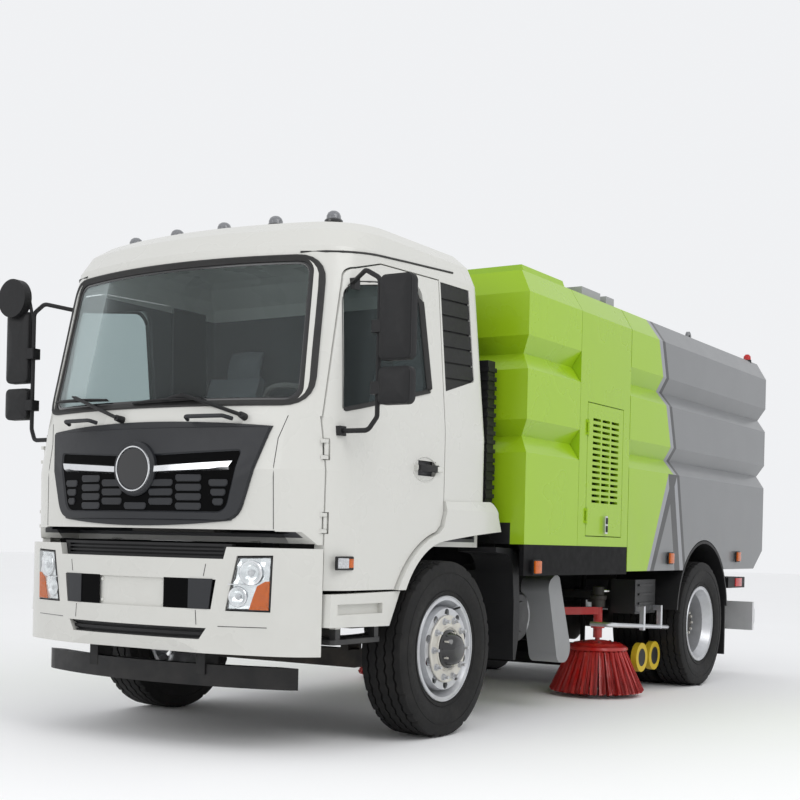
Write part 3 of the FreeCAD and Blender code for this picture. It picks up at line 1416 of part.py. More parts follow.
def nozzle_guides():
    """Sleeves for the lift rods and the fixed suction duct, on brackets from the rails."""
    pieces = []
    for side in (1, -1):
        x = side * lift_rod_x
        sleeve = cylinder_z(x, nozzle_y, lift_rod_radius + 16, 700, 800)
        low, high = sorted((side * (rail_outer_x + seat_gap), x))
        arm = box(low, high, nozzle_y - 25, nozzle_y + 25, 700, 790)
        bore = cylinder_z(x, nozzle_y, lift_rod_radius + pin_clearance, 690, 810)
        pieces.append(fused([sleeve, arm]).cut(bore))
    duct = cylinder_z(-suction_x, nozzle_y, suction_radius + 16, 620, hopper_floor_z - 8)
    stay = box(-suction_x, -lift_rod_x, nozzle_y - 25, nozzle_y + 25, 700, 790)
    hole = cylinder_z(-suction_x, nozzle_y, suction_radius + running_gap, 600, hopper_floor_z)
    rod_hole = cylinder_z(-lift_rod_x, nozzle_y, lift_rod_radius + pin_clearance, 690, 810)
    pieces[1] = fused([pieces[1], duct, stay]).cut(hole).cut(rod_hole)
    return Part.makeCompound(pieces)


def wheel_at(shape, side, y):
    """Place a wheel made at the front axle's left end."""
    placed = shape if side > 0 else mirrored(shape)
    placed = placed.copy()
    placed.translate(Vector(0, y, 0))
    return placed


def build_parts():
    """Make every piece under its node name."""
    parts = {
        "chassis_frame": chassis_frame(),
        "front_axle": front_axle(),
        "rear_axle": rear_axle(),
        "driveline": driveline(),
        "front_bumper": front_bumper(),
        "bumper_grilles": bumper_grilles(),
        "lamps": lamps(),
        "underrun_bars": underrun_bars(),
        "cab_steps": cab_steps(),
        "mudguards": mudguards(),
        "front_module": front_module(),
        "middle_module": middle_module(),
        "auxiliary_engine": auxiliary_engine(),
        "body_skirts": body_skirts(),
        "roof_hatches": roof_hatches(),
        "side_units": side_units(),
        "side_guides": side_guides(),
        "air_intake": air_intake(),
        "brush_brackets": brush_brackets(),
        "nozzle_guides": nozzle_guides(),
        "suction_nozzle": suction_nozzle(),
        "nozzle_front_wheels": nozzle_wheels(nozzle_wheel_ys[0]),
        "nozzle_rear_wheels": nozzle_wheels(nozzle_wheel_ys[1]),
        "cab_shell": cab_shell(),
        "windscreen": windscreen(),
        "grille_panel": grille_panel(),
        "side_vents": side_vents(),
        "roof_lamps": roof_lamps(),
        "seats": seats(),
        "dashboard": dashboard(),
        "hopper_shell": hopper_shell(),
        "rear_door": rear_door(),
    }
    front_tyre = tyre(front_wheel_x)
    front_wheel_rim = front_rim()
    twin_tyres = rear_tyres()
    twin_rims = rear_rims()
    stub = knuckle()
    arm = brush_arm()
    brush = side_brush()
    for name, side in (("left", 1), ("right", -1)):
        parts["door_" + name] = cab_door(side)
        parts["door_glass_" + name] = door_glass(side)
        parts["mirrors_" + name] = mirrors(side)
        parts["access_door_" + name] = access_door(side)
        parts["knuckle_" + name] = wheel_at(stub, side, 0)
        parts["front_tyre_" + name] = wheel_at(front_tyre, side, 0)
        parts["front_rim_" + name] = wheel_at(front_wheel_rim, side, 0)
        parts["rear_tyres_" + name] = wheel_at(twin_tyres, side, wheelbase)
        parts["rear_rims_" + name] = wheel_at(twin_rims, side, wheelbase)
        parts["brush_arm_" + name] = wheel_at(arm, side, 0)
        parts["brush_" + name] = wheel_at(brush, side, 0)
    return parts


def main():
    os.makedirs("parts", exist_ok=True)
    for name, shape in build_parts().items():
        placed = shape.copy()
        placed.translate(Vector(0, -middle_of_length, 0))
        placed.exportStep("parts/" + name + ".step")


main()
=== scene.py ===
"""Street sweeper truck: finishes for the solid parts and the fine pieces on them, in metres.

X points to the truck's left side, Y to the rear and Z up. Distances along the truck
are given from the front axle, as a workshop drawing gives them, and spot() turns
them into the model's own frame."""

import math
import random

import bmesh
import bpy
from mathutils import Matrix, Vector
from mathutils.bvhtree import BVHTree


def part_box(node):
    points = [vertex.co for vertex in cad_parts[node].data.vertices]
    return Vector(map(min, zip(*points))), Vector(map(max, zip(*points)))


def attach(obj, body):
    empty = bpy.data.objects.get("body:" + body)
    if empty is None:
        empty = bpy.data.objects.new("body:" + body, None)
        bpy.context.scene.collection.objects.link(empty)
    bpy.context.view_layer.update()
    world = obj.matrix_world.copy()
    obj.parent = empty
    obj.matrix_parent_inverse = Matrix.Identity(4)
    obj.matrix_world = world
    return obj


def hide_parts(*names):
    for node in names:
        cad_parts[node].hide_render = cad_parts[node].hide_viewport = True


bl_info = {
    "name": "Street Sweeper Truck",
    "version": (1, 0, 0),
    "blender": (4, 5, 0),
    "location": "View3D > Sidebar > Sweeper",
    "description": "Builds the finishes, trim, tyres, brushes and lamps of a street sweeper truck",
    "category": "Add Mesh",
}

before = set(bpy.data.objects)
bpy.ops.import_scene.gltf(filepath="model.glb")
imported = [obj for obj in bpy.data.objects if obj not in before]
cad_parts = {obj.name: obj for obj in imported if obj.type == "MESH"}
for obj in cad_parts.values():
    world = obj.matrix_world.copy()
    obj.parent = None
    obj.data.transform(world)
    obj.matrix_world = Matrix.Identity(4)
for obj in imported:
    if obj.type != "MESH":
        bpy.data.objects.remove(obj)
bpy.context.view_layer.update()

SIDES = (("left", 1), ("right", -1))
FULL_TURN = 2 * math.pi
CAMERA_PLACE = Vector((5.0751, -8.7272, 1.1148))
CAMERA_YAW = 32.03
CAMERA_PITCH = -0.114
CAMERA_ROLL = 1.343
FOCAL_PIXELS = 1338.38
CENTER_PIXEL = (413.45, 546.26)
IMAGE_PIXELS = 800
SENSOR_MM = 36.0

WHITE = (0.61, 0.607, 0.572)
GREEN = (0.30, 0.49, 0.010)
SILVER = (0.175, 0.18, 0.186)
LIGHT_SILVER = (0.26, 0.265, 0.285)
DARK_GREY = (0.028, 0.029, 0.030)
ROAD_DUST = (0.30, 0.28, 0.25)
LENS_RIBS = 700.0
THREADS = 2600.0

FRONT_HUB_FACE = 1.139
REAR_NUT_FACE = 0.962
NUT_CIRCLE = 0.1675
NUTS = 10
DOOR_FACE = 1.092
MIRROR_X = 1.3825
BRUSH_X = 0.880
BRUSH_Y = 2.684
GOLDEN_ANGLE = 2.39996
CORNER_SEAM = ((0.858, 1.760), (0.822, 1.640), (0.818, 1.500), (0.823, 1.172))
BUMPER_SEAMS = (((0.487, 0.985), (0.475, 0.922)), ((0.432, 0.742), (0.438, 0.668)),
                ((0.563, 0.664), (0.825, 0.666)))
AHEAD = Vector((0, -1, 0))
UP = Vector((0, 0, 1))
MIRROR_HEIGHTS = ((2.045, 2.48), (1.82, 2.01))


def middle_of(node):
    """Middle of a solid part's box at rest."""
    low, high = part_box(node)
    return (Vector(low) + Vector(high)) / 2


FRONT_AXLE_Y = middle_of("front_tyre_left").y
REAR_AXLE_Y = middle_of("rear_tyres_left").y
WHEEL_CENTER_Z = middle_of("front_tyre_left").z
TYRE_RADIUS = (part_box("front_tyre_left")[1][2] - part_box("front_tyre_left")[0][2]) / 2
BODY_HALF_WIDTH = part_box("middle_module")[1][0]
AHEAD_Y = FRONT_AXLE_Y - 1.7


def spot(x, y, z):
    """Point at a distance y behind the front axle."""
    return Vector((x, FRONT_AXLE_Y + y, z))


# Finishes


def opaque(shade):
    """A shade with the alpha that colour sockets ask for; links pass unchanged."""
    return shade + (1.0,) if isinstance(shade, tuple) else shade


class NodeTree:
    """A node tree with a short way to add its nodes."""

    def __init__(self, tree):
        self.tree = tree

    def node(self, kind, settings=None, values=None):
        """Add a node: its settings first, then the values or links of its sockets."""
        made = self.tree.nodes.new(kind)
        for name, setting in (settings or {}).items():
            setattr(made, name, setting)
        for name, value in (values or {}).items():
            self.feed(made.inputs[name], value)
        return made

    def feed(self, socket, value):
        """Link a socket to a reading or an output, or give it a fixed value."""
        if isinstance(value, Reading):
            value = value.socket
        if isinstance(value, bpy.types.NodeSocket):
            self.tree.links.new(value, socket)
        else:
            socket.default_value = value


class Reading:
    """A number that a node tree works out, written with ordinary arithmetic."""

    def __init__(self, owner, socket):
        self.owner = owner
        self.socket = socket

    def _maths(self, operation, first, second=None, clamp=False):
        values = {0: first}
        if second is not None:
            values[1] = second
        node = self.owner.node("ShaderNodeMath", {"operation": operation, "use_clamp": clamp}, values)
        return Reading(self.owner, node.outputs[0])

    def __add__(self, other):
        return self._maths("ADD", self, other)

    __radd__ = __add__

    def __sub__(self, other):
        return self._maths("SUBTRACT", self, other)

    def __rsub__(self, other):
        return self._maths("SUBTRACT", other, self)

    def __mul__(self, other):
        return self._maths("MULTIPLY", self, other)

    def __truediv__(self, other):
        return self._maths("DIVIDE", self, other)

    def __gt__(self, other):
        return self._maths("GREATER_THAN", self, other)

    def __lt__(self, other):
        return self._maths("LESS_THAN", self, other)

    def size(self):
        return self._maths("ABSOLUTE", self)

    def clamped(self):
        return self._maths("MULTIPLY", self, 1.0, clamp=True)

    def most(self, other):
        return self._maths("MAXIMUM", self, other)

    def root(self):
        return self._maths("SQRT", self)

    def sine(self):
        return self._maths("SINE", self)

    def cosine(self):
        return self._maths("COSINE", self)

    def rising(self, low, high):
        """0 below low, 1 above high and a straight ramp between."""
        return ((self - low) / (high - low)).clamped()


class Finish(NodeTree):
    """One material, built from a principled shader and named patterns on object coordinates."""

    def __init__(self, name):
        self.material = bpy.data.materials.new(name)
        self.material.use_nodes = True
        super().__init__(self.material.node_tree)
        self.shader = self.tree.nodes["Principled BSDF"]
        self.place = self.node("ShaderNodeTexCoord").outputs["Object"]
        split = self.node("ShaderNodeSeparateXYZ", {}, {0: self.place})
        self.x = Reading(self, split.outputs[0])
        self.y = Reading(self, split.outputs[1]) - FRONT_AXLE_Y
        self.z = Reading(self, split.outputs[2])

    def noise(self, scale, detail=3.0, stretch=None):
        """Cloudy pattern between about 0.3 and 0.7, finer with a larger scale."""
        place = self.place
        if stretch:
            place = self.node("ShaderNodeMapping", {}, {"Vector": self.place, "Scale": stretch}).outputs[0]
        made = self.node("ShaderNodeTexNoise", {}, {"Vector": place, "Scale": scale, "Detail": detail})
        return Reading(self, made.outputs[0])

    def cells(self, scale):
        """Pattern of small cells, darkest at their middles."""
        made = self.node("ShaderNodeTexVoronoi", {}, {"Vector": self.place, "Scale": scale})
        return Reading(self, made.outputs["Distance"])

    def mix(self, amount, first, second):
        """Blend two colours by a number."""
        made = self.node("ShaderNodeMix", {"data_type": "RGBA"}, {0: amount})
        for slot, value in ((6, first), (7, second)):
            self.feed(made.inputs[slot], opaque(value))
        return made.outputs[2]

    def mottled(self, scale, dark, pale, detail=3.0):
        """Two close shades in a cloudy pattern."""
        return self.mix(self.noise(scale, detail), dark, pale)

    def dirt(self, clean, dust, low, high, amount):
        """Dust that settles more towards the road."""
        height = 1 - self.z.rising(low, high)
        patch = self.noise(7.0, 5.0).rising(0.35, 0.75)
        return self.mix((height * patch * amount).clamped(), clean, dust)

    def color(self, value):
        self.feed(self.shader.inputs["Base Color"], opaque(value))

    def rough(self, value):
        self.feed(self.shader.inputs["Roughness"], value)

    def uneven(self, scale, amount, least, detail=3.0):
        """Roughness that wanders over the surface, above a least value."""
        self.rough(self.noise(scale, detail) * amount + least)

    def metal(self, value):
        self.feed(self.shader.inputs["Metallic"], value)

    def specular(self, level):
        self.feed(self.shader.inputs["Specular IOR Level"], level)

    def gloss_coat(self, weight, roughness):
        self.feed(self.shader.inputs["Coat Weight"], weight)
        self.feed(self.shader.inputs["Coat Roughness"], roughness)

    def bump(self, height, strength, distance=0.001):
        made = self.node("ShaderNodeBump", {}, {"Strength": strength, "Distance": distance, "Height": height})
        self.feed(self.shader.inputs["Normal"], made.outputs[0])

    def lacquer(self, least_rough, coat_rough=0.06):
        """Sprayed paint: uneven gloss, a clear coat and faint orange peel."""
        self.uneven(3.0, 0.12, least_rough)
        self.specular(0.35)
        self.gloss_coat(0.2, coat_rough)
        self.bump(self.noise(420.0, 1.0), 0.02)


def painted(name, shade, dust=0.10):
    """Lacquer in one shade, with road dust low down."""
    finish = Finish(name)
    varied = finish.mottled(1.4, tuple(0.96 * part for part in shade), shade, 2.0)
    finish.color(finish.dirt(varied, ROAD_DUST, 0.3, 1.3, dust))
    finish.lacquer(0.22)
    return finish


def chassis_black():
    """Dull black frame paint."""
    finish = Finish("chassis_black")
    finish.color(finish.dirt((0.006, 0.006, 0.0065), (0.045, 0.04, 0.035), 0.1, 0.7, 0.18))
    finish.uneven(18.0, 0.25, 0.48, 4.0)
    finish.specular(0.12)
    finish.bump(finish.noise(160.0), 0.10)
    return finish


def moulded_black():
    """Grained black plastic."""
    finish = Finish("moulded_black")
    finish.color(finish.mottled(6.0, (0.009, 0.009, 0.0095), (0.015, 0.015, 0.016)))
    finish.uneven(40.0, 0.2, 0.42)
    finish.specular(0.30)
    finish.bump(finish.cells(900.0), 0.12, 0.0005)
    return finish


def gloss_black():
    """Shiny black plastic."""
    finish = Finish("gloss_black")
    finish.color((0.010, 0.010, 0.011))
    finish.uneven(12.0, 0.08, 0.10)
    finish.gloss_coat(0.5, 0.04)
    return finish


def panel_black():
    """Smooth satin slate of the front panel."""
    finish = Finish("panel_black")
    finish.color(finish.mottled(5.0, (0.011, 0.012, 0.0145), (0.017, 0.0185, 0.022)))
    finish.uneven(30.0, 0.12, 0.38)
    finish.specular(0.40)
    return finish


def void_black():
    """Near black painted shade for deep openings, where no light gets in."""
    finish = Finish("void_black")
    # painted shade: near black colour in place of the dark inside of an opening
    finish.color((0.0015, 0.0015, 0.0017))
    finish.uneven(20.0, 0.1, 0.75)
    finish.specular(0.08)
    return finish


def soft_rubber():
    """Rubber of seals and feet."""
    finish = Finish("soft_rubber")
    finish.color(finish.mottled(20.0, (0.012, 0.012, 0.012), (0.024, 0.023, 0.022)))
    finish.uneven(60.0, 0.2, 0.55)
    finish.bump(finish.noise(300.0), 0.1, 0.0006)
    return finish


def tyre_rubber():
    """Tread and side wall rubber with fine scuffs and dust in the grooves."""
    finish = Finish("tyre_rubber")
    base = finish.mottled(25.0, (0.005, 0.005, 0.0055), (0.012, 0.0115, 0.011), 5.0)
    scuffs = finish.noise(9.0, 6.0).rising(0.5, 0.8) * 0.20
    finish.color(finish.mix(scuffs, base, (0.045, 0.041, 0.036)))
    finish.uneven(50.0, 0.25, 0.52, 4.0)
    finish.specular(0.25)
    finish.bump(finish.noise(240.0), 0.14, 0.0008)
    return finish


def wheel_silver():
    """Silver wheel paint, dusty low down."""
    finish = Finish("wheel_silver")
    base = finish.mottled(30.0, (0.50, 0.51, 0.53), (0.63, 0.64, 0.66), 4.0)
    finish.color(finish.dirt(base, (0.22, 0.20, 0.18), 0.2, 1.1, 0.35))
    finish.metal(0.65)
    finish.uneven(90.0, 0.22, 0.25)
    finish.bump(finish.noise(500.0), 0.03, 0.0005)
    return finish


def hub_cream():
    """Cream paint over bare metal."""
    finish = Finish("hub_cream")
    finish.color(finish.mottled(22.0, (0.52, 0.50, 0.45), (0.68, 0.66, 0.60), 4.0))
    finish.metal(0.3)
    finish.uneven(60.0, 0.25, 0.30)
    return finish


def bright_metal():
    """Polished stainless steel."""
    finish = Finish("bright_metal")
    finish.color(finish.mottled(14.0, (0.70, 0.71, 0.73), (0.82, 0.83, 0.84)))
    finish.metal(1.0)
    finish.uneven(45.0, 0.14, 0.12, 4.0)
    return finish


def brushed_aluminium():
    """Aluminium with fine lines across the truck."""
    finish = Finish("brushed_aluminium")
    finish.color((0.66, 0.67, 0.69))
    finish.metal(1.0)
    lines = finish.noise(30.0, 4.0, (0.4, 8.0, 8.0))
    finish.rough(lines * 0.25 + 0.22)
    finish.bump(lines, 0.04, 0.0005)
    return finish


def cast_iron():
    """Dark rough castings with rust coloured dust."""
    finish = Finish("cast_iron")
    base = finish.mottled(16.0, (0.030, 0.029, 0.028), (0.065, 0.060, 0.055), 5.0)
    finish.color(finish.dirt(base, (0.16, 0.13, 0.10), 0.1, 1.0, 0.5))
    finish.metal(0.45)
    finish.uneven(70.0, 0.25, 0.48, 4.0)
    finish.bump(finish.noise(220.0, 4.0), 0.25)
    return finish


def clear_glass(name, tint):
    """Glass that lets most light straight through and mirrors the rest."""
    finish = Finish(name)
    tree = finish.tree
    finish.color(tint)
    finish.rough(0.02)
    finish.specular(0.7)
    through = finish.node("ShaderNodeBsdfTransparent", {}, {"Color": opaque(tint)})
    facing = finish.node("ShaderNodeLayerWeight", {}, {"Blend": 0.12})
    amount = Reading(finish, facing.outputs["Fresnel"]) * 0.36 + 0.025
    mixed = finish.node("ShaderNodeMixShader", {}, {0: amount})
    tree.links.new(through.outputs[0], mixed.inputs[1])
    tree.links.new(finish.shader.outputs[0], mixed.inputs[2])
    tree.links.new(mixed.outputs[0], tree.nodes["Material Output"].inputs["Surface"])
    return finish


def lamp_lens(name, shade, glow=0.0):
    """Ribbed coloured lens."""
    finish = Finish(name)
    finish.color(finish.mix(finish.cells(90.0), shade, tuple(0.6 * part for part in shade)))
    finish.rough(0.12)
    finish.specular(0.35)
    finish.gloss_coat(0.25, 0.03)
    finish.feed(finish.shader.inputs["Emission Color"], opaque(shade))
    finish.feed(finish.shader.inputs["Emission Strength"], glow)
    finish.bump((finish.z * LENS_RIBS).sine() + (finish.x * LENS_RIBS).sine(), 0.15, 0.0008)
    return finish


def woven_cloth():
    """Grey seat cloth with a fine weave."""
    finish = Finish("woven_cloth")
    weft, warp, rise = ((part * THREADS).sine() for part in (finish.x, finish.y, finish.z))
    finish.color(finish.mottled(30.0, (0.16, 0.17, 0.19), (0.26, 0.27, 0.29)))
    finish.rough(0.85)
    finish.bump(weft * warp + rise, 0.2, 0.0006)
    return finish


def cabin_plastic():
    """Grained brown grey plastic of the cabin."""
    finish = Finish("cabin_plastic")
    finish.color(finish.mottled(5.0, (0.085, 0.080, 0.074), (0.120, 0.112, 0.104)))
    finish.uneven(30.0, 0.15, 0.5)
    finish.bump(finish.cells(700.0), 0.15, 0.0006)
    return finish


def bristle_red():
    """Red polypropylene bristles, darker red towards the tips near the road."""
    finish = Finish("bristle_red")
    tip = 1 - finish.z.rising(0.03, 0.34)
    base = finish.mottled(60.0, (0.34, 0.008, 0.007), (0.56, 0.020, 0.016))
    finish.color(finish.mix((tip * 0.45).clamped(), base, (0.12, 0.008, 0.007)))
    finish.uneven(80.0, 0.2, 0.35)
    return finish


def livery():
    """Green front and silver rear, parted by a dark line and, below the ledge, a two-legged chevron."""
    finish = Finish("livery")
    y = finish.y
    upper = 3.291 - (finish.z - 1.685) * 0.355
    rise = finish.z - 0.95
    above = finish.z > 1.70
    below = 1 - above
    light = above * (y > upper - 0.064) + below * (y > 2.723 + rise * 0.53)
    silver = y > (upper + 0.02) * above + (3.48 - rise * 0.25) * below
    inner = below * (y > 2.82 + rise * 0.58) * (y < 3.34 - rise * 0.236)
    line = above * (y > upper) * (y < upper + 0.056)
    outer_leg = below * (y > 3.481 - rise * 0.25) * (y < 3.535 - rise * 0.25)
    legs_front = below * (y > 2.785 + rise * 0.556)
    legs_rear = y < 3.404 - rise * 0.235
    front_leg = legs_front * (y < 2.859 + rise * 0.594)
    rear_leg = below * (y > 3.291 - rise * 0.2365) * legs_rear
    base = finish.mix(light, GREEN, LIGHT_SILVER)
    base = finish.mix((silver + inner).clamped(), base, SILVER)
    apex = legs_front * legs_rear * (finish.z > 1.47)
    dark = (line + outer_leg + front_leg + rear_leg + apex).clamped()
    base = finish.mix(dark, base, DARK_GREY)
    finish.color(finish.dirt(base, (0.26, 0.25, 0.22), 0.8, 1.7, 0.12))
    finish.lacquer(0.26, 0.08)
    return finish


def cab_white():
    """White lacquer outside; the inner faces of the cab get a dark grey that is trim colour and painted shade
    of the cab's inside together.
    """
    finish = Finish("cab_white")
    x, y, z = finish.x.size(), finish.y, finish.z
    nose = z.rising(1.76, 2.68) * 0.205 + z.rising(1.48, 1.76) * 0.05 - 1.39
    corner = (x - 0.85).most(0.0)
    front_limit = nose + x * x * 0.196 + corner * corner * 3.5 + 0.030
    side_limit = 1.066 - z.rising(1.76, 2.68) * 0.04
    # inside: inner faces of the cab, coloured dark grey as trim and as painted shade of the cab's inside
    inside = (x < side_limit) * (y > front_limit) * (z < 2.60) * (y < 0.48) * (z > 1.13)
    varied = finish.mottled(1.4, tuple(0.985 * part for part in WHITE), WHITE, 2.0)
    outside = finish.dirt(varied, ROAD_DUST, 0.3, 0.9, 0.05)
    # dark grey of the inside: trim colour darkened further as painted shade
    finish.color(finish.mix(inside, outside, (0.060, 0.061, 0.066)))
    finish.lacquer(inside * 0.4 + 0.22)
    return finish


def module_green():
    """Green lacquer, with the lower front over the wheel arch and the underside coloured near black as
    painted shade.
    """
    finish = Finish("module_green")
    x, z = finish.x.size(), finish.z
    # painted shade: the lower front over the wheel arch and the underside of the module are coloured near
    # black
    shaded_low_front = (finish.y < 0.80) * (z < 1.32) * (x < 1.0) + (z < 1.26) * (x < 1.15)
    shade = finish.mix(shaded_low_front.clamped(), GREEN, (0.016, 0.016, 0.017))
    finish.color(finish.dirt(shade, ROAD_DUST, 0.3, 1.3, 0.10))
    finish.lacquer(0.22)
    return finish


def step_white():
    """White side panel above a black lower step and brackets; faces set in from the side are coloured near
    black as painted shade in the step recess.
    """
    finish = Finish("step_white")
    # black below z 0.662 is the real black step; black on faces set in from the side is painted shade of the
    # recess
    step_black_and_recess_shade = (finish.z < 0.662) + (finish.x.size() < 1.034)
    shade = finish.mix(step_black_and_recess_shade.clamped(), WHITE, (0.018, 0.018, 0.019))
    finish.color(finish.dirt(shade, ROAD_DUST, 0.3, 1.3, 0.12))
    finish.uneven(4.0, 0.15, 0.28)
    finish.specular(0.35)
    finish.bump(finish.noise(300.0, 1.0), 0.03)
    return finish


def unit_grey():
    """Satin grey cover panels, and black boxes further back under the body."""
    finish = Finish("unit_grey")
    back = ((finish.y > 2.30) + (finish.y < 1.15)).clamped()
    shade = finish.mix(back, (0.26, 0.265, 0.27), (0.012, 0.012, 0.013))
    finish.color(finish.dirt(shade, (0.20, 0.19, 0.17), 0.2, 1.0, 0.15))
    finish.metal(0.25)
    finish.uneven(12.0, 0.15, 0.34)
    return finish


def roof_lids():
    """Green hood in front and grey lids behind it."""
    finish = Finish("roof_lids")
    finish.color(finish.mix(finish.y > 1.73, GREEN, (0.30, 0.305, 0.31)))
    finish.uneven(6.0, 0.15, 0.32)
    finish.bump(finish.noise(300.0), 0.02)
    return finish


def underrun_metal():
    """Black front bar and bare aluminium rear rails."""
    finish = Finish("underrun_metal")
    rear = finish.y > 4.5
    shade = finish.mix(rear, (0.007, 0.007, 0.0075), (0.68, 0.685, 0.69))
    finish.color(finish.dirt(shade, (0.10, 0.09, 0.08), 0.2, 0.9, 0.2))
    finish.metal(rear * 0.5)
    finish.uneven(25.0, 0.2, 0.34)
    finish.specular(0.3)
    return finish


def nozzle_wheel(node):
    """Yellow tyre band round a black hub."""
    finish = Finish("nozzle_wheel")
    middle = middle_of(node)
    low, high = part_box(node)
    radius = (high[2] - low[2]) / 2
    across = finish.y - (middle.y - FRONT_AXLE_Y)
    upwards = finish.z - middle.z
    tread = across * across + upwards * upwards > (0.62 * radius) ** 2
    finish.color(finish.mix(tread, (0.012, 0.012, 0.012), (0.62, 0.44, 0.02)))
    finish.uneven(25.0, 0.2, 0.45)
    finish.bump(finish.noise(160.0), 0.1)
    return finish


def bright_mirror():
    """Silvered glass."""
    finish = Finish("mirror_glass")
    finish.color((0.80, 0.82, 0.83))
    finish.metal(1.0)
    finish.uneven(5.0, 0.02, 0.01)
    return finish


finishes = {}


def make_finishes():
    """Every material of the truck, made once."""
    made = {
        "cab_white": cab_white(),
        "white": painted("white_lacquer", WHITE),
        "green": painted("green_lacquer", GREEN),
        "module_green": module_green(),
        "step_white": step_white(),
        "livery": livery(),
        "red": painted("red_lacquer", (0.46, 0.012, 0.010), dust=0.2),
        "chassis_black": chassis_black(),
        "moulded_black": moulded_black(),
        "panel_black": panel_black(),
        # near black painted shade for openings
        "void_black": void_black(),
        "unit_grey": unit_grey(),
        "roof_lids": roof_lids(),
        "underrun": underrun_metal(),
        "nozzle_front_wheel": nozzle_wheel("nozzle_front_wheels"),
        "nozzle_rear_wheel": nozzle_wheel("nozzle_rear_wheels"),
        "gloss_black": gloss_black(),
        "rubber": soft_rubber(),
        "tyre": tyre_rubber(),
        "wheel_silver": wheel_silver(),
        "hub_cream": hub_cream(),
        "bright": bright_metal(),
        "aluminium": brushed_aluminium(),
        "iron": cast_iron(),
        "screen_glass": clear_glass("screen_glass", (0.86, 0.90, 0.90)),
        "side_glass": clear_glass("side_glass", (0.62, 0.67, 0.67)),
        "lamp_glass": clear_glass("lamp_glass", (0.97, 0.98, 0.98)),
        "mirror_glass": bright_mirror(),
        "amber": lamp_lens("amber_lens", (0.62, 0.12, 0.002), 0.02),
        "red_lens": lamp_lens("red_lens", (0.55, 0.01, 0.01), 0.05),
        "clear_lens": lamp_lens("clear_lens", (0.62, 0.63, 0.65)),
        "smoked": lamp_lens("smoked_lens", (0.24, 0.245, 0.26)),
        "cloth": woven_cloth(),
        "cabin": cabin_plastic(),
        "bristle": bristle_red(),
    }
    finishes.update({name: finish.material for name, finish in made.items()})


CAD_FINISHES = {
    "chassis_frame": "chassis_black", "front_axle": "iron", "rear_axle": "iron", "driveline": "iron",
    "front_bumper": "white", "bumper_grilles": "moulded_black", "lamps": "moulded_black",
    "underrun_bars": "underrun", "cab_steps": "step_white", "mudguards": "moulded_black",
    "front_module": "module_green", "middle_module": "green", "auxiliary_engine": "iron",
    "body_skirts": "chassis_black", "roof_hatches": "roof_lids", "side_units": "unit_grey",
    "side_guides": "aluminium", "air_intake": "moulded_black", "brush_brackets": "chassis_black",
    "nozzle_guides": "chassis_black", "suction_nozzle": "chassis_black",
    "nozzle_front_wheels": "nozzle_front_wheel", "nozzle_rear_wheels": "nozzle_rear_wheel",
    "cab_shell": "cab_white", "windscreen": "screen_glass", "grille_panel": "panel_black",
    "side_vents": "moulded_black", "roof_lamps": "moulded_black", "seats": "cloth",
    "dashboard": "cabin", "hopper_shell": "livery", "rear_door": "livery", "door": "cab_white",
    "door_glass": "side_glass", "mirrors": "moulded_black", "access_door": "green", "knuckle": "iron",
    "front_tyre": "tyre", "front_rim": "wheel_silver", "rear_tyres": "tyre",
    "rear_rims": "wheel_silver", "brush_arm": "red", "brush": "red",
}


# Shape tools


def ring_points(center, first, second, radius, sides):
    """Points of a circle in the plane of two directions."""
    turns = [FULL_TURN * step / sides for step in range(sides)]
    return [center + (first * math.cos(turn) + second * math.sin(turn)) * radius for turn in turns]


def grid_faces(rows, count, wrap=False):
    """Faces between neighbouring rings of points."""
    faces = []
    for row in range(rows if wrap else rows - 1):
        first = row * count
        second = ((row + 1) % rows) * count
        for step in range(count):
            after = (step + 1) % count
            faces.append((first + step, first + after, second + after, second + step))
    return faces


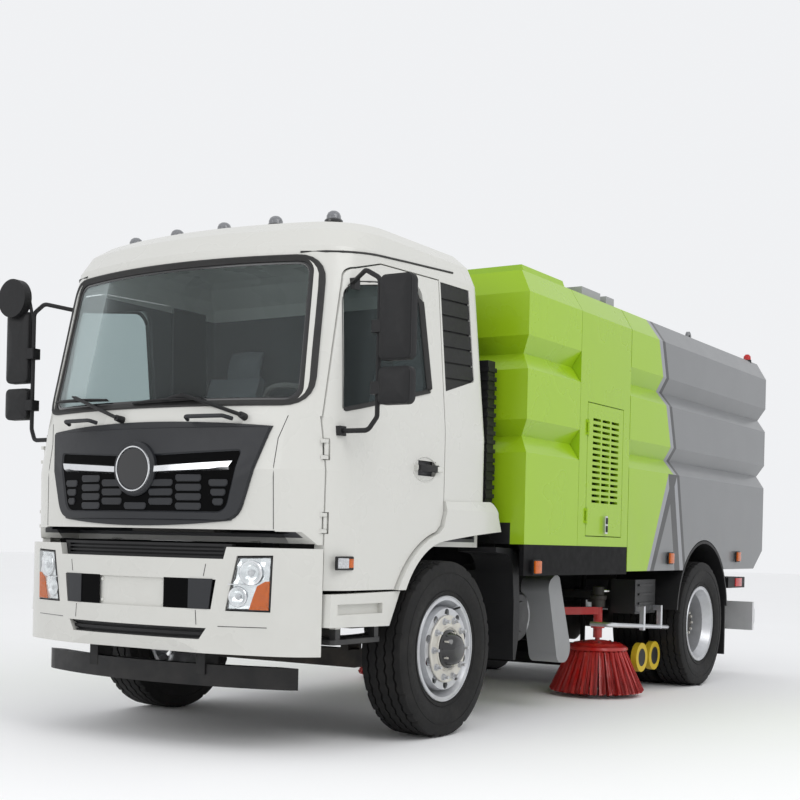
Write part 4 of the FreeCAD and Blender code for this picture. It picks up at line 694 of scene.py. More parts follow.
class Shape:
    """A mesh built up from closed solids, each with its own material."""

    def __init__(self, finish_name):
        self.mesh = bmesh.new()
        self.names = [finish_name]
        self.index = 0

    def use(self, finish_name):
        """Make what follows in another material."""
        if finish_name not in self.names:
            self.names.append(finish_name)
        self.index = self.names.index(finish_name)

    def coat(self, faces):
        """Give faces the material in use."""
        for face in faces:
            face.material_index = self.index

    def add(self, points, faces):
        """Add a closed solid from corners and faces, with faces turned outwards."""
        corners = [self.mesh.verts.new(point) for point in points]
        made = [self.mesh.faces.new([corners[number] for number in face]) for face in faces]
        bmesh.ops.recalc_face_normals(self.mesh, faces=made)
        self.coat(made)

    def loops(self, rings, wrap=False):
        """Skin a row of point rings that all have the same count."""
        count = len(rings[0])
        points = [point for ring in rings for point in ring]
        faces = grid_faces(len(rings), count, wrap)
        if not wrap:
            last = len(points) - count
            faces.append(tuple(range(count)))
            faces.append(tuple(last + number for number in reversed(range(count))))
        self.add(points, faces)

    def bands(self, rings):
        """Skin a closed strip from lines of points that run beside each other."""
        self.loops([list(section) for section in zip(*rings)], wrap=True)

    def block(self, low, high, bevel=0.0):
        """Box between two corners, with cut edges where a bevel is given."""
        low, high = Vector(low), Vector(high)
        corners = bmesh.ops.create_cube(self.mesh, size=1.0)["verts"]
        size = Vector([abs(part) for part in high - low])
        for vertex in corners:
            vertex.co = vertex.co * size + (low + high) / 2
        faces = list(dict.fromkeys(face for vertex in corners for face in vertex.link_faces))
        self.coat(faces)
        if bevel > 0:
            edges = list(dict.fromkeys(edge for face in faces for edge in face.edges))
            done = bmesh.ops.bevel(self.mesh, geom=edges, offset=bevel, segments=2, profile=0.6,
                                   affect="EDGES", clamp_overlap=True)
            self.coat(done["faces"])

    def side_block(self, side, x, depth, middle, half, bevel):
        """Block on one side of the truck: depths inside and outside x, then its (y, z) middle and halves."""
        (sunk, proud), (y, z), (half_y, half_z) = depth, middle, half
        low = spot(x - side * sunk, y - half_y, z - half_z)
        high = spot(x + side * proud, y + half_y, z + half_z)
        self.block(low, high, bevel)

    def rod(self, start, end, radius, sides=16, end_radius=None):
        """Round bar, or a cone where the far radius differs."""
        start, end = Vector(start), Vector(end)
        along = (end - start).normalized()
        first = along.orthogonal().normalized()
        second = along.cross(first)
        far = radius if end_radius is None else end_radius
        self.loops([ring_points(place, first, second, size, sides)
                    for place, size in ((start, radius), (end, far))])

    def turned(self, profile, center, axis, sides=48):
        """Turn a closed profile of (offset, radius) points about an axis through a center."""
        center, axis = Vector(center), Vector(axis).normalized()
        first = UP if abs(axis.z) < 0.5 else axis.orthogonal().normalized()
        second = axis.cross(first)
        self.bands([ring_points(center + axis * offset, first, second, radius, sides)
                    for offset, radius in profile])

    def lathe(self, profile, center, axis, sides=32):
        """Turn an open profile whose two ends lie on the axis into a closed solid."""
        center, axis = Vector(center), Vector(axis).normalized()
        first = axis.orthogonal().normalized()
        second = axis.cross(first)
        points = []
        for offset, radius in profile[1:-1]:
            points += ring_points(center + axis * offset, first, second, radius, sides)
        faces = grid_faces(len(profile) - 2, sides)
        last = len(points) - sides
        start, finish = len(points), len(points) + 1
        points += [center + axis * profile[0][0], center + axis * profile[-1][0]]
        for step in range(sides):
            after = (step + 1) % sides
            faces.append((start, after, step))
            faces.append((finish, last + step, last + after))
        self.add(points, faces)

    def sweep(self, points, radius, sides=10, rounding=0.0, closed=False):
        """Round tube along a path, its corners eased by an arc."""
        path = eased(points, rounding)
        rings = []
        count = len(path)
        for number, place in enumerate(path):
            before = path[(number - 1) % count] if closed or number else place
            after = path[(number + 1) % count] if closed or number < count - 1 else place
            along = (after - before).normalized()
            if not rings:
                side = along.orthogonal().normalized()
            side = (side - along * side.dot(along)).normalized()
            rings.append(ring_points(place, side, along.cross(side), radius, sides))
        self.loops(rings, wrap=closed)

    def seal(self, outer, inner, normals, section):
        """Closed strip between two lines on a surface; its section gives shares across and lifts."""
        rings = []
        for outside, inside, normal in zip(outer, inner, normals):
            rings.append([outside.lerp(inside, share) + normal * lift for share, lift in section])
        self.loops(rings, wrap=True)

    def flipped(self):
        """Turn everything made so far into its mirror image."""
        for vertex in self.mesh.verts:
            vertex.co.x = -vertex.co.x
        bmesh.ops.reverse_faces(self.mesh, faces=self.mesh.faces[:])

    def piece(self, name, body, stands_for=(), smooth_angle=32.0):
        """Finish the mesh as a piece that rides on a body."""
        mesh = bpy.data.meshes.new(name)
        self.mesh.to_mesh(mesh)
        self.mesh.free()
        for finish_name in self.names:
            mesh.materials.append(finishes[finish_name])
        return set_piece(name, mesh, body, stands_for, smooth_angle)


def smooth(mesh, angle):
    """Shade a mesh smooth, apart from edges sharper than an angle in degrees."""
    for face in mesh.polygons:
        face.use_smooth = True
    mesh.set_sharp_from_angle(angle=math.radians(angle))


def set_piece(name, mesh, body, stands_for=(), smooth_angle=32.0):
    """Link a mesh as a piece, smooth it, and let it ride on a body."""
    made = bpy.data.objects.new(name, mesh)
    bpy.context.scene.collection.objects.link(made)
    smooth(mesh, smooth_angle)
    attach(made, body)
    if stands_for:
        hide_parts(*stands_for)
    return made


def arc(start, corner, end, steps):
    """Curve that leaves one side of a corner and meets the other."""
    parts = [step / steps for step in range(steps + 1)]
    return [start.lerp(corner, part).lerp(corner.lerp(end, part), part) for part in parts]


def eased(points, rounding):
    """Replace the inner corners of a path by short arcs."""
    points = [Vector(point) for point in points]
    if rounding <= 0:
        return points
    result = points[:1]
    for before, corner, after in zip(points, points[1:], points[2:]):
        reach = min(rounding, (before - corner).length * 0.45, (after - corner).length * 0.45)
        start = corner + (before - corner).normalized() * reach
        end = corner + (after - corner).normalized() * reach
        result += arc(start, corner, end, 4)
    return result + points[-1:]


def skin_of(*nodes):
    """Search tree over the surfaces of some solid parts."""
    points = []
    faces = []
    for node in nodes:
        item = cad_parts[node]
        first = len(points)
        points += [item.matrix_world @ vertex.co for vertex in item.data.vertices]
        faces += [tuple(first + number for number in face.vertices) for face in item.data.polygons]
    return BVHTree.FromPolygons(points, faces)


def laid_on(skin, points, direction):
    """Drop points along a direction onto a surface; gives places and outward normals.

    A point that misses takes the nearest place at the depth of the point before it."""
    places = []
    normals = []
    direction = Vector(direction)
    for point in points:
        place, normal, _, _ = skin.ray_cast(Vector(point) - direction * 3.0, direction)
        if place is None and places:
            near = [old if part else new for part, old, new in zip(direction, places[-1], point)]
            place, normal, _, _ = skin.find_nearest(Vector(near))
        if place is None:
            raise RuntimeError("a line of points misses the surface at %s" % Vector(point))
        places.append(place)
        normals.append(-normal if normal.dot(direction) > 0 else normal)
    return places, normals


def rounded_outline(corners, radii, steps=6):
    """Flat outline with a round corner at each of its points."""
    result = []
    count = len(corners)
    for number, corner in enumerate(corners):
        corner = Vector(corner)
        before = Vector(corners[number - 1])
        after = Vector(corners[(number + 1) % count])
        radius = radii[number] if isinstance(radii, list) else radii
        start = corner + (before - corner).normalized() * radius
        end = corner + (after - corner).normalized() * radius
        result += arc(start, corner, end, steps)
    return result


def spaced(outline, step):
    """Divide the long runs of a closed outline."""
    result = []
    for number, point in enumerate(outline):
        after = outline[(number + 1) % len(outline)]
        pieces = max(1, round((after - point).length / step))
        for part in range(pieces):
            result.append(point.lerp(after, part / pieces))
    return result


def shrunk(outline, amount):
    """Move each point of a closed outline inwards."""
    count = len(outline)
    area = sum(outline[n - 1].x * outline[n].y - outline[n].x * outline[n - 1].y for n in range(count))
    turn = 1 if area > 0 else -1
    result = []
    for number, point in enumerate(outline):
        along = (outline[(number + 1) % count] - outline[number - 1]).normalized()
        result.append(point + Vector((-along.y, along.x)) * turn * amount)
    return result


# Repeats


class Repeat(NodeTree):
    """A geometry node tree that stands copies of one small shape on points with a direction each."""

    def __init__(self, name):
        super().__init__(bpy.data.node_groups.new(name, "GeometryNodeTree"))
        for way in ("INPUT", "OUTPUT"):
            self.tree.interface.new_socket("Geometry", in_out=way, socket_type="NodeSocketGeometry")
        self.start = self.node("NodeGroupInput")
        self.end = self.node("NodeGroupOutput")

    def size(self, name, default, kind="NodeSocketFloat"):
        """Add a named input for a size."""
        socket = self.tree.interface.new_socket(name, in_out="INPUT", socket_type=kind)
        socket.default_value = default
        return self.start.outputs[name]

    def copies(self, points, small, turn):
        """Stand copies of a small shape on points, each turned by a rotation."""
        made = self.node("GeometryNodeInstanceOnPoints", {}, {"Points": points, "Instance": small,
                         "Rotation": turn})
        return made.outputs[0]

    def finish(self, small, material):
        """Turn a copy to each point's direction, make all copies real and give them a material."""
        facing = self.node("GeometryNodeInputNamedAttribute", {"data_type": "FLOAT_VECTOR"},
                           {"Name": "facing"})
        turn = self.node("FunctionNodeAlignRotationToVector", {"axis": "Z"}, {"Vector": facing.outputs[0]})
        copies = self.copies(self.start.outputs[0], small, turn.outputs[0])
        real = self.node("GeometryNodeRealizeInstances", {}, {0: copies})
        coated = self.node("GeometryNodeSetMaterial", {}, {0: real.outputs[0], "Material": material})
        self.tree.links.new(coated.outputs[0], self.end.inputs[0])

    def run(self, places, directions):
        """Apply the tree to points that carry a direction each, and give the plain result."""
        points = bpy.data.meshes.new("points")
        points.from_pydata([tuple(place) for place in places], [], [])
        facing = points.attributes.new("facing", "FLOAT_VECTOR", "POINT")
        for row, direction in zip(facing.data, directions):
            row.vector = direction
        carrier = bpy.data.objects.new("carrier", points)
        bpy.context.scene.collection.objects.link(carrier)
        carrier.modifiers.new("repeat", "NODES").node_group = self.tree
        evaluated = carrier.evaluated_get(bpy.context.evaluated_depsgraph_get())
        plain = bpy.data.meshes.new_from_object(evaluated)
        bpy.data.objects.remove(carrier)
        return plain


# Wheels


def tread_ring(center_x, center_y, angle):
    """Section of a tyre at one angle: side walls, shoulder blocks and zigzag grooves."""
    width = sizes().tyre_width / 2
    radius = TYRE_RADIUS
    pitch = FULL_TURN / sizes().tread_blocks
    phase = (angle % pitch) / pitch
    zigzag = (abs(phase - 0.5) - 0.25) * 0.020
    notch = 0.010 if phase < 0.22 else 0.0
    profile = [
        (0.80 * width, radius - 0.035), (0.86 * width, radius - 0.12), (0.60 * width, radius - 0.21),
        (0.665 * width, radius - 0.2247), (0.80 * width, radius - 0.205), (0.86 * width, radius - 0.190),
        (0.93 * width, radius - 0.150), (0.985 * width, radius - 0.118), (1.0 * width, radius - 0.095),
        (0.992 * width, radius - 0.060), (0.965 * width, radius - 0.034),
        (0.955 * width, radius - 0.022 - notch * 0.4), (0.915 * width, radius - 0.006 - notch),
        (0.86 * width, radius - 0.003 - notch), (0.645 * width + zigzag, radius - 0.002 - notch * 0.5),
        (0.625 * width + zigzag, radius - 0.015), (0.575 * width + zigzag, radius - 0.015),
        (0.555 * width + zigzag, radius - 0.001), (0.245 * width - zigzag, radius),
        (0.225 * width - zigzag, radius - 0.014), (0.175 * width - zigzag, radius - 0.014),
        (0.155 * width - zigzag, radius),
    ]
    profile += [(-offset, reach) for offset, reach in reversed(profile)]
    sine, cosine = math.sin(angle), math.cos(angle)
    return [Vector((center_x + offset, center_y + reach * cosine, WHEEL_CENTER_Z + reach * sine))
            for offset, reach in profile]


def add_tyre(shape, center_x, center_y):
    """One tyre: tread and side walls with two raised rings on each side."""
    steps = sizes().tread_blocks * 4
    rings = [tread_ring(center_x, center_y, FULL_TURN * step / steps) for step in range(steps)]
    shape.loops(rings, wrap=True)
    width = sizes().tyre_width / 2
    for side in (1, -1):
        for reach, offset in ((TYRE_RADIUS - 0.175, 0.895), (TYRE_RADIUS - 0.070, 0.992)):
            x = side * offset * width
            ridge = [(x - 0.002 * side, reach - 0.004), (x + 0.003 * side, reach - 0.001),
                     (x + 0.003 * side, reach + 0.001), (x - 0.002 * side, reach + 0.004)]
            shape.turned(ridge, (center_x, center_y, WHEEL_CENTER_Z), (1, 0, 0), 72)


def wheel_circle(center, radius, count, shift=0.0):
    """Even places on a circle about a wheel's axle."""
    angles = [FULL_TURN * (number + shift) / count for number in range(count)]
    return [Vector(center) + Vector((0, math.cos(angle), math.sin(angle))) * radius for angle in angles]


def nut_ring(name, body, face_x, center_y, side):
    """Hexagon wheel nuts with their stud ends on one wheel face."""
    repeat = Repeat("wheel_nuts")
    size = repeat.size("Nut radius", 0.018)
    nut = repeat.node("GeometryNodeMeshCylinder", {}, {"Vertices": 6, "Radius": size, "Depth": 0.044})
    flange = repeat.node("GeometryNodeMeshCone", {}, {"Vertices": 16, "Radius Top": 0.020,
                         "Radius Bottom": 0.024, "Depth": 0.010})
    stud = repeat.node("GeometryNodeMeshCylinder", {}, {"Vertices": 10, "Radius": 0.0095, "Depth": 0.090})
    both = repeat.node("GeometryNodeJoinGeometry")
    for part in (nut, flange, stud):
        repeat.tree.links.new(part.outputs["Mesh"], both.inputs[0])
    repeat.finish(both.outputs[0], finishes["wheel_silver"])
    places = wheel_circle((side * face_x, center_y, WHEEL_CENTER_Z), NUT_CIRCLE, NUTS)
    set_piece(name, repeat.run(places, [Vector((side, 0, 0))] * NUTS), body)


def add_front_hub(shape, side):
    """Cream flange under the wheel nuts and a stepped black centre cap."""
    center = (side * FRONT_HUB_FACE, FRONT_AXLE_Y, WHEEL_CENTER_Z)
    out = Vector((side, 0, 0))
    shape.use("hub_cream")
    shape.lathe([(-0.006, 0), (-0.006, 0.195), (0.003, 0.195), (0.007, 0.190), (0.007, 0)], center, out, 48)
    shape.turned([(0.004, 0.120), (0.012, 0.121), (0.016, 0.126), (0.012, 0.131), (0.004, 0.132)],
                 center, out, 48)
    shape.use("gloss_black")
    shape.lathe([(0.004, 0), (0.004, 0.113), (0.014, 0.113), (0.022, 0.100), (0.066, 0.082), (0.079, 0.064),
                 (0.083, 0.050), (0.083, 0)], center, out, 40)
    shape.use("hub_cream")
    for place in wheel_circle(center, 0.092, 6, 0.5):
        shape.rod(place + out * 0.030, place + out * 0.054, 0.0065, 6)


def add_rear_hub(shape, side):
    """Deep hub end inside the outer rear wheel with its shaft flange and bolts."""
    center = (side * middle_of("rear_tyres_left").x, REAR_AXLE_Y, WHEEL_CENTER_Z)
    out = Vector((side, 0, 0))
    shape.use("iron")
    shape.lathe([(0.0, 0), (0.0, 0.135), (0.10, 0.125), (0.135, 0.118), (0.160, 0.104), (0.164, 0.09),
                 (0.164, 0)], center, out, 40)
    shape.use("hub_cream")
    for place in wheel_circle(center, 0.085, 10):
        shape.rod(place + out * 0.155, place + out * 0.178, 0.010, 6)


def add_rim_trim(shape, center_x, center_y, side, dish):
    """Rolled flange lip and a tyre valve on one wheel."""
    shape.use("wheel_silver")
    lip = [(0.108 * side, 0.299), (0.119 * side, 0.301), (0.121 * side, 0.3055), (0.116 * side, 0.3085),
           (0.108 * side, 0.307)]
    shape.turned(lip, (center_x, center_y, WHEEL_CENTER_Z), (1, 0, 0), 72)
    shape.use("rubber")
    place = Vector((center_x + side * dish, center_y + 0.12, WHEEL_CENTER_Z + 0.215))
    shape.rod(place - Vector((side * 0.02, 0, 0)), place + Vector((side * 0.045, 0.010, 0.022)), 0.006, 8)


# Cab trim


def front_line(skin, points):
    """Places and outward normals of (x, z) points dropped onto the front of some solids."""
    return laid_on(skin, [(point[0], AHEAD_Y, point[1]) for point in points], (0, 1, 0))


def front_points(skin, points, lift):
    """Points (x, z) dropped onto the front of some solids and raised by a lift."""
    return [place + normal * lift for place, normal in zip(*front_line(skin, points))]


def screen_outline(sideways, upwards):
    """Outline of the windscreen opening as (x, z) points, grown sideways and upwards."""
    low, high = 1.822 - upwards, 2.618 + upwards
    wide, narrow = 0.915 + sideways, 0.868 + sideways
    corners = [(-wide, low), (wide, low), (narrow, high), (-narrow, high)]
    return spaced(rounded_outline(corners, 0.10 + max(sideways, -0.03)), 0.08)


def add_screen_surround(shape):
    """Rubber gasket that bridges from the painted frame to the glass, with a dark printed edge."""
    glass = skin_of("windscreen")
    outer, normals = front_line(skin_of("cab_shell"), screen_outline(0.050, 0.010))
    inner, _ = front_line(glass, screen_outline(-0.022, -0.022))
    shape.use("rubber")
    shape.seal(outer, inner, normals,
               ((0, -0.003), (0, 0.007), (0.22, 0.013), (0.5, 0.010), (1, 0.006), (1, 0.0008)))
    outer, normals = front_line(glass, screen_outline(-0.019, -0.019))
    inner, _ = front_line(glass, screen_outline(-0.036, -0.036))
    shape.use("gloss_black")
    shape.seal(outer, inner, normals,
               ((0, -0.0005), (0, 0.00064), (0.25, 0.0016), (0.75, 0.0016), (1, 0.00064), (1, -0.0005)))


def door_window_outline(grow):
    """Outline of the door window opening as (y, z) points behind the front axle."""
    corners = [(-0.987, 1.798), (-0.927, 2.400), (-0.885, 2.487), (-0.310, 2.572), (-0.235, 2.510),
               (-0.150, 1.985)]
    outline = spaced(rounded_outline(corners, [0.02, 0.03, 0.04, 0.05, 0.05, 0.03], 4), 0.08)
    return shrunk(outline, -grow)


def add_window_surround(shape, side, name):
    """Black seal round a door window."""
    inward = (-side, 0, 0)
    start = side * 1.3
    door = skin_of("door_" + name, "door_glass_" + name, "cab_shell")
    glass = skin_of("door_glass_" + name)
    outer, normals = laid_on(door, [spot(start, p.x, p.y) for p in door_window_outline(0.006)], inward)
    inner, _ = laid_on(glass, [spot(start, p.x, p.y) for p in door_window_outline(-0.016)], inward)
    shape.use("rubber")
    shape.seal(outer, inner, normals, ((0, -0.002), (0, 0.006), (0.3, 0.009), (1, 0.006), (1, 0.0008)))


def add_handle(shape, side):
    """Black pull handle over an oval dish, with its lock."""
    x = side * DOOR_FACE
    angles = [FULL_TURN * step / 28 for step in range(28)]
    dish = [spot(x, -0.215 + 0.125 * math.cos(angle), 1.538 + 0.070 * math.sin(angle)) for angle in angles]
    shape.use("white")
    shape.sweep(dish, 0.0045, 8, closed=True)
    shape.use("moulded_black")
    shape.side_block(side, x, (-0.016, 0.040), (-0.230, 1.543), (0.095, 0.019), 0.008)
    for y in (-0.305, -0.152):
        shape.side_block(side, x, (0.004, 0.030), (y, 1.543), (0.013, 0.013), 0.004)
    lock_y, lock_z = -0.103, 1.545
    shape.rod(spot(x - side * 0.004, lock_y, lock_z), spot(x + side * 0.020, lock_y, lock_z), 0.021, 24)
    shape.use("bright")
    shape.rod(spot(x + side * 0.018, lock_y, lock_z), spot(x + side * 0.0225, lock_y, lock_z), 0.011, 16)


def add_indicator(shape, side):
    """Side repeater lamp on a black base low on the door, clear in front and amber behind."""
    x = side * DOOR_FACE
    y, z = -0.995, 1.004
    shape.use("moulded_black")
    shape.side_block(side, x, (0.004, 0.010), (y, z), (0.078, 0.036), 0.006)
    shape.use("clear_lens")
    shape.side_block(side, x, (0.0, 0.018), (y - 0.022, z), (0.046, 0.027), 0.006)
    shape.use("amber")
    shape.side_block(side, x, (0.0, 0.016), (y + 0.048, z), (0.020, 0.024), 0.005)


def mirror_outline(side, low, high, inset, radius):
    """Outline of one mirror as (x, z) points, inset from its housing."""
    inner, outer = side * (MIRROR_X - 0.0975 + inset), side * (MIRROR_X + 0.0975 - inset)
    low, high = low + inset, high - inset
    return rounded_outline([(inner, low), (outer, low), (outer, high), (inner, high)], radius, 5)


def add_mirror(shape, side):
    """Housing backs with a bead round them and silvered faces that look to the rear."""
    shape.use("moulded_black")
    for low, high in MIRROR_HEIGHTS:
        outline = mirror_outline(side, low, high, 0.0, 0.034)
        if side < 0:
            outline.reverse()
        middle = Vector((side * MIRROR_X, (low + high) / 2))
        rings = []
        for y, inset, share in ((-0.9555, 0.003, 1.0), (-0.962, -0.0015, 1.0), (-0.998, -0.0015, 1.0),
                                (-1.014, 0.005, 1.0), (-1.022, 0.018, 1.0), (-1.030, 0.018, 0.72),
                                (-1.034, 0.018, 0.30)):
            flat = [middle + (point - middle) * share for point in shrunk(outline, inset)]
            rings.append([spot(point.x, y, point.y) for point in flat])
        shape.loops(rings)
    shape.use("mirror_glass")
    for low, high in MIRROR_HEIGHTS:
        outline = mirror_outline(side, low, high, 0.015, 0.035)
        shape.loops([[spot(point.x, y, point.y) for point in outline] for y in (-0.957, -0.9535)])


def add_wiper(shape, pivot, elbow, blade_start, blade_end):
    """Pantograph arm from its spindle to a long blade that rests on the glass."""
    glass = skin_of("windscreen", "cab_shell", "grille_panel")
    (foot, bend, start, end), normals = front_line(glass, (pivot, elbow, blade_start, blade_end))
    out = normals[0]
    shape.use("moulded_black")
    shape.rod(foot - out * 0.01, foot + out * 0.050, 0.021, 16, 0.017)
    middle = start.lerp(end, 0.48)
    shape.sweep([foot + out * 0.040, foot.lerp(bend, 0.4) + out * 0.050, bend + normals[1] * 0.048,
                 middle + normals[2] * 0.034], 0.0105, 8, 0.06)
    shape.sweep([foot + out * 0.052, bend + normals[1] * 0.060], 0.006, 8)
    parts = [step / 8 for step in range(9)]
    line = [start.lerp(end, part) for part in parts]
    blade = list(zip(*front_line(glass, [(point.x, point.z) for point in line])))
    crown = [0.024 + 0.016 * (1 - (2 * part - 1) ** 2) for part in parts]
    shape.sweep([place + normal * lift for (place, normal), lift in zip(blade, crown)], 0.0065, 8)
    shape.use("rubber")
    up = Vector((0, 0, 0.007))
    shape.loops([[place + normal * 0.001, place + normal * 0.020 + up, place + normal * 0.026,
                  place + normal * 0.020 - up] for place, normal in blade])


# Front panel, bumper and lamps


def panel_outline(corners, radii):
    """Round cornered outline with the same number of points on each of its four runs."""
    corner_steps, run_steps = 6, 17
    rounded = rounded_outline(corners, radii, corner_steps)
    outline = []
    for number, point in enumerate(rounded):
        outline.append(point)
        if number % (corner_steps + 1) == corner_steps:
            after = rounded[(number + 1) % len(rounded)]
            outline += [point.lerp(after, step / run_steps) for step in range(1, run_steps)]
    return outline


def add_grille_frame(shape, skin):
    """Raised frame of the black panel, deeper above, round the sunk field of slabs."""
    outer = panel_outline([(-0.790, 1.705), (-0.640, 1.204), (0.640, 1.204), (0.790, 1.705)],
                          [0.03, 0.095, 0.095, 0.03])
    inner = panel_outline([(-0.640, 1.572), (-0.567, 1.258), (0.567, 1.258), (0.640, 1.572)],
                          [0.02, 0.055, 0.055, 0.02])
    for point in inner:
        if point.y > 1.50:
            point.y -= 0.030 * (1 - abs(point.x) / 0.640)
    shape.use("panel_black")
    shape.bands([front_points(skin, shrunk(outline, inset), lift)
                 for outline, inset, lift in ((outer, 0.002, 0.004), (outer, 0.012, 0.0215),
                                              (inner, -0.008, 0.0215), (inner, 0.0, 0.0125))])


def add_grille_field(shape, skin):
    """Near black sheet behind the slabs and the bar: painted shade of the space behind the grille."""
    columns = 25
    rings = []
    for row in range(11):
        z = 1.250 + 0.033 * row
        reach = 0.572 + 0.24 * (z - 1.250)
        line = [(reach * (2 * step / (columns - 1) - 1), z) for step in range(columns)]
        rings.append(front_points(skin, line, 0.0128) + list(reversed(front_points(skin, line, 0.0004))))
    # near black sheet of painted shade
    shape.use("void_black")
    shape.loops(rings)


def add_grille_slabs(shape, skin):
    """Long slabs with slanted ends in staggered columns, the outer ones cut short by the frame."""
    shape.use("panel_black")
    for column in range(-3, 4):
        x = 0.176 * column
        for row in range(4):
            z = 1.283 + 0.0495 * row + 0.0247 * (column % 2)
            if (column == 0 and row > 0) or z > 1.440:
                continue
            half = min(0.079, 0.545 + 0.24 * (z - 1.250) - abs(x))
            outline = [(x - half, z - 0.006), (x - half + 0.012, z - 0.0185), (x + half - 0.012, z - 0.0185),
                       (x + half, z - 0.006), (x + half, z + 0.010), (x + half - 0.008, z + 0.0185),
                       (x - half + 0.008, z + 0.0185), (x - half, z + 0.010)]
            face = [((px - x) * 0.94 + x, (pz - z) * 0.76 + z) for px, pz in outline]
            shape.loops([front_points(skin, line, lift)
                         for line, lift in ((outline, 0.0120), (outline, 0.0160), (face, 0.0195))])


def add_grille_bar(shape, skin, side):
    """Bright bar from the boss outwards, bevelled, with a slanted end."""
    shape.use("bright")
    sections = []
    for step in range(10):
        share = step / 9
        low_x, high_x = side * (0.125 + 0.464 * share), side * (0.125 + 0.482 * share)
        low_z, high_z = 1.454 + 0.020 * share, 1.498 + 0.027 * share
        edge = [(low_x, low_z), (high_x, high_z)]
        crest = [(low_x, low_z + 0.010), (high_x, high_z - 0.010)]
        low, high = front_points(skin, edge, 0.0126)
        proud_low, proud_high = front_points(skin, crest, 0.0300)
        sections.append([low, proud_low, proud_high, high])
    shape.loops(sections)


def add_grille(shape):
    """Black front panel with its slabs, bright bars and a bare round boss."""
    skin = skin_of("cab_shell")
    add_grille_frame(shape, skin)
    add_grille_field(shape, skin)
    add_grille_slabs(shape, skin)
    for side in (1, -1):
        add_grille_bar(shape, skin, side)
    boss = front_points(skin, [(0.0, 1.481)], 0.0)[0]
    shape.use("panel_black")
    shape.lathe([(0.0, 0), (0.0, 0.148), (0.020, 0.147), (0.031, 0.138), (0.033, 0.0)], boss, AHEAD, 64)
    shape.use("bright")
    shape.turned([(0.029, 0.111), (0.038, 0.114), (0.041, 0.1175), (0.038, 0.121), (0.029, 0.124)],
                 boss, AHEAD, 80)
    shape.use("gloss_black")
    shape.lathe([(0.029, 0), (0.029, 0.1105), (0.035, 0.106), (0.037, 0.0)], boss, AHEAD, 64)


def lamp_outline(grow):
    """Outline of a headlamp opening as (x, z) points."""
    corners = [(0.600, 0.745), (0.842, 0.745), (0.850, 1.037), (0.660, 1.031)]
    return shrunk(spaced(rounded_outline(corners, 0.018, 4), 0.04), -grow)


def add_reflector(shape, skin):
    """Chrome reflector of small tilted facets that fill the lamp."""
    shape.use("bright")
    scatter = random.Random(11)
    columns, rows = 8, 13
    rings = []
    for row in range(rows):
        share = row / (rows - 1)
        z = 0.752 + 0.272 * share
        left, right = 0.614 + 0.056 * share, 0.829 + 0.006 * share
        line = [(left + (right - left) * step / (columns - 1), z) for step in range(columns)]
        raised = [point + AHEAD * scatter.uniform(0.0015, 0.0105) for point in front_points(skin, line, 0.0)]
        rings.append(raised + list(reversed(front_points(skin, line, 0.0002))))
    shape.loops(rings)


def add_headlamp(shape):
    """Left headlamp: dark rim, faceted chrome, two bowls with bulbs, amber lower corner and bright bar."""
    skin = skin_of("front_bumper", "lamps")
    outline = lamp_outline(-0.004)
    shape.use("gloss_black")
    shape.bands([front_points(skin, shrunk(outline, inset), lift)
                 for inset, lift in ((0.0, 0.002), (0.003, 0.010), (0.009, 0.010), (0.012, 0.002))])
    add_reflector(shape, skin)
    out = Vector((0.25, -0.968, 0))
    for x, z, size in ((0.735, 0.945, 0.062), (0.668, 0.820, 0.050)):
        place = front_points(skin, [(x, z)], 0.002)[0]
        shape.use("bright")
        shape.turned([(0.001, size * 0.35), (0.004, size * 0.62), (0.014, size), (0.011, size * 1.05),
                      (0.0005, size * 0.6)], place, out, 32)
        shape.use("clear_lens")
        shape.lathe([(0.0, 0), (0.0, size * 0.34), (0.010, size * 0.28), (0.014, 0.0)], place, out, 20)
    shape.use("amber")
    corner = [(0.730, 0.756), (0.830, 0.756), (0.834, 0.904), (0.810, 0.902), (0.770, 0.878), (0.748, 0.815)]
    shape.loops([front_points(skin, corner, lift) for lift in (0.0015, 0.0135)])
    shape.use("bright")
    shape.sweep(front_points(skin, [(0.618, 0.884), (0.690, 0.884), (0.764, 0.884)], 0.009), 0.0030, 6)


def add_lamp_cover(shape):
    """Clear cover over a headlamp, bowed with the bumper."""
    skin = skin_of("front_bumper", "lamps")
    shape.use("lamp_glass")
    shape.loops([front_points(skin, lamp_outline(-0.012), lift) for lift in (0.012, 0.017)])


def add_front_plate(shape):
    """Four cap nuts that hold the bare number plate."""
    shape.use("white")
    corners = [(x, z) for x in (-0.22, 0.22) for z in (0.772, 0.884)]
    for place in front_points(skin_of("front_bumper"), corners, 0.0):
        shape.lathe([(-0.002, 0), (-0.002, 0.012), (0.005, 0.010), (0.009, 0.005), (0.010, 0)],
                    place, AHEAD, 16)


def add_front_lines(shape, skin, lines):
    """Dark joint lines laid on the front, on both sides."""
    shape.use("gloss_black")
    for points in lines:
        for side in (1, -1):
            full = []
            for start, end in zip(points, points[1:]):
                start, end = Vector(start), Vector(end)
                full += [start.lerp(end, step / 6) for step in range(7)]
            shape.sweep(front_points(skin, [(side * point.x, point.y) for point in full], 0.0), 0.0021, 6)


def add_slot_back(shape):
    """Near black sheet behind the upper slot of the bumper: painted shade in place of the dark space behind
    it.
    """
    # near black sheet of painted shade
    shape.use("void_black")
    shape.block(spot(-0.78, -1.190, 1.000), spot(0.78, -1.186, 1.100))


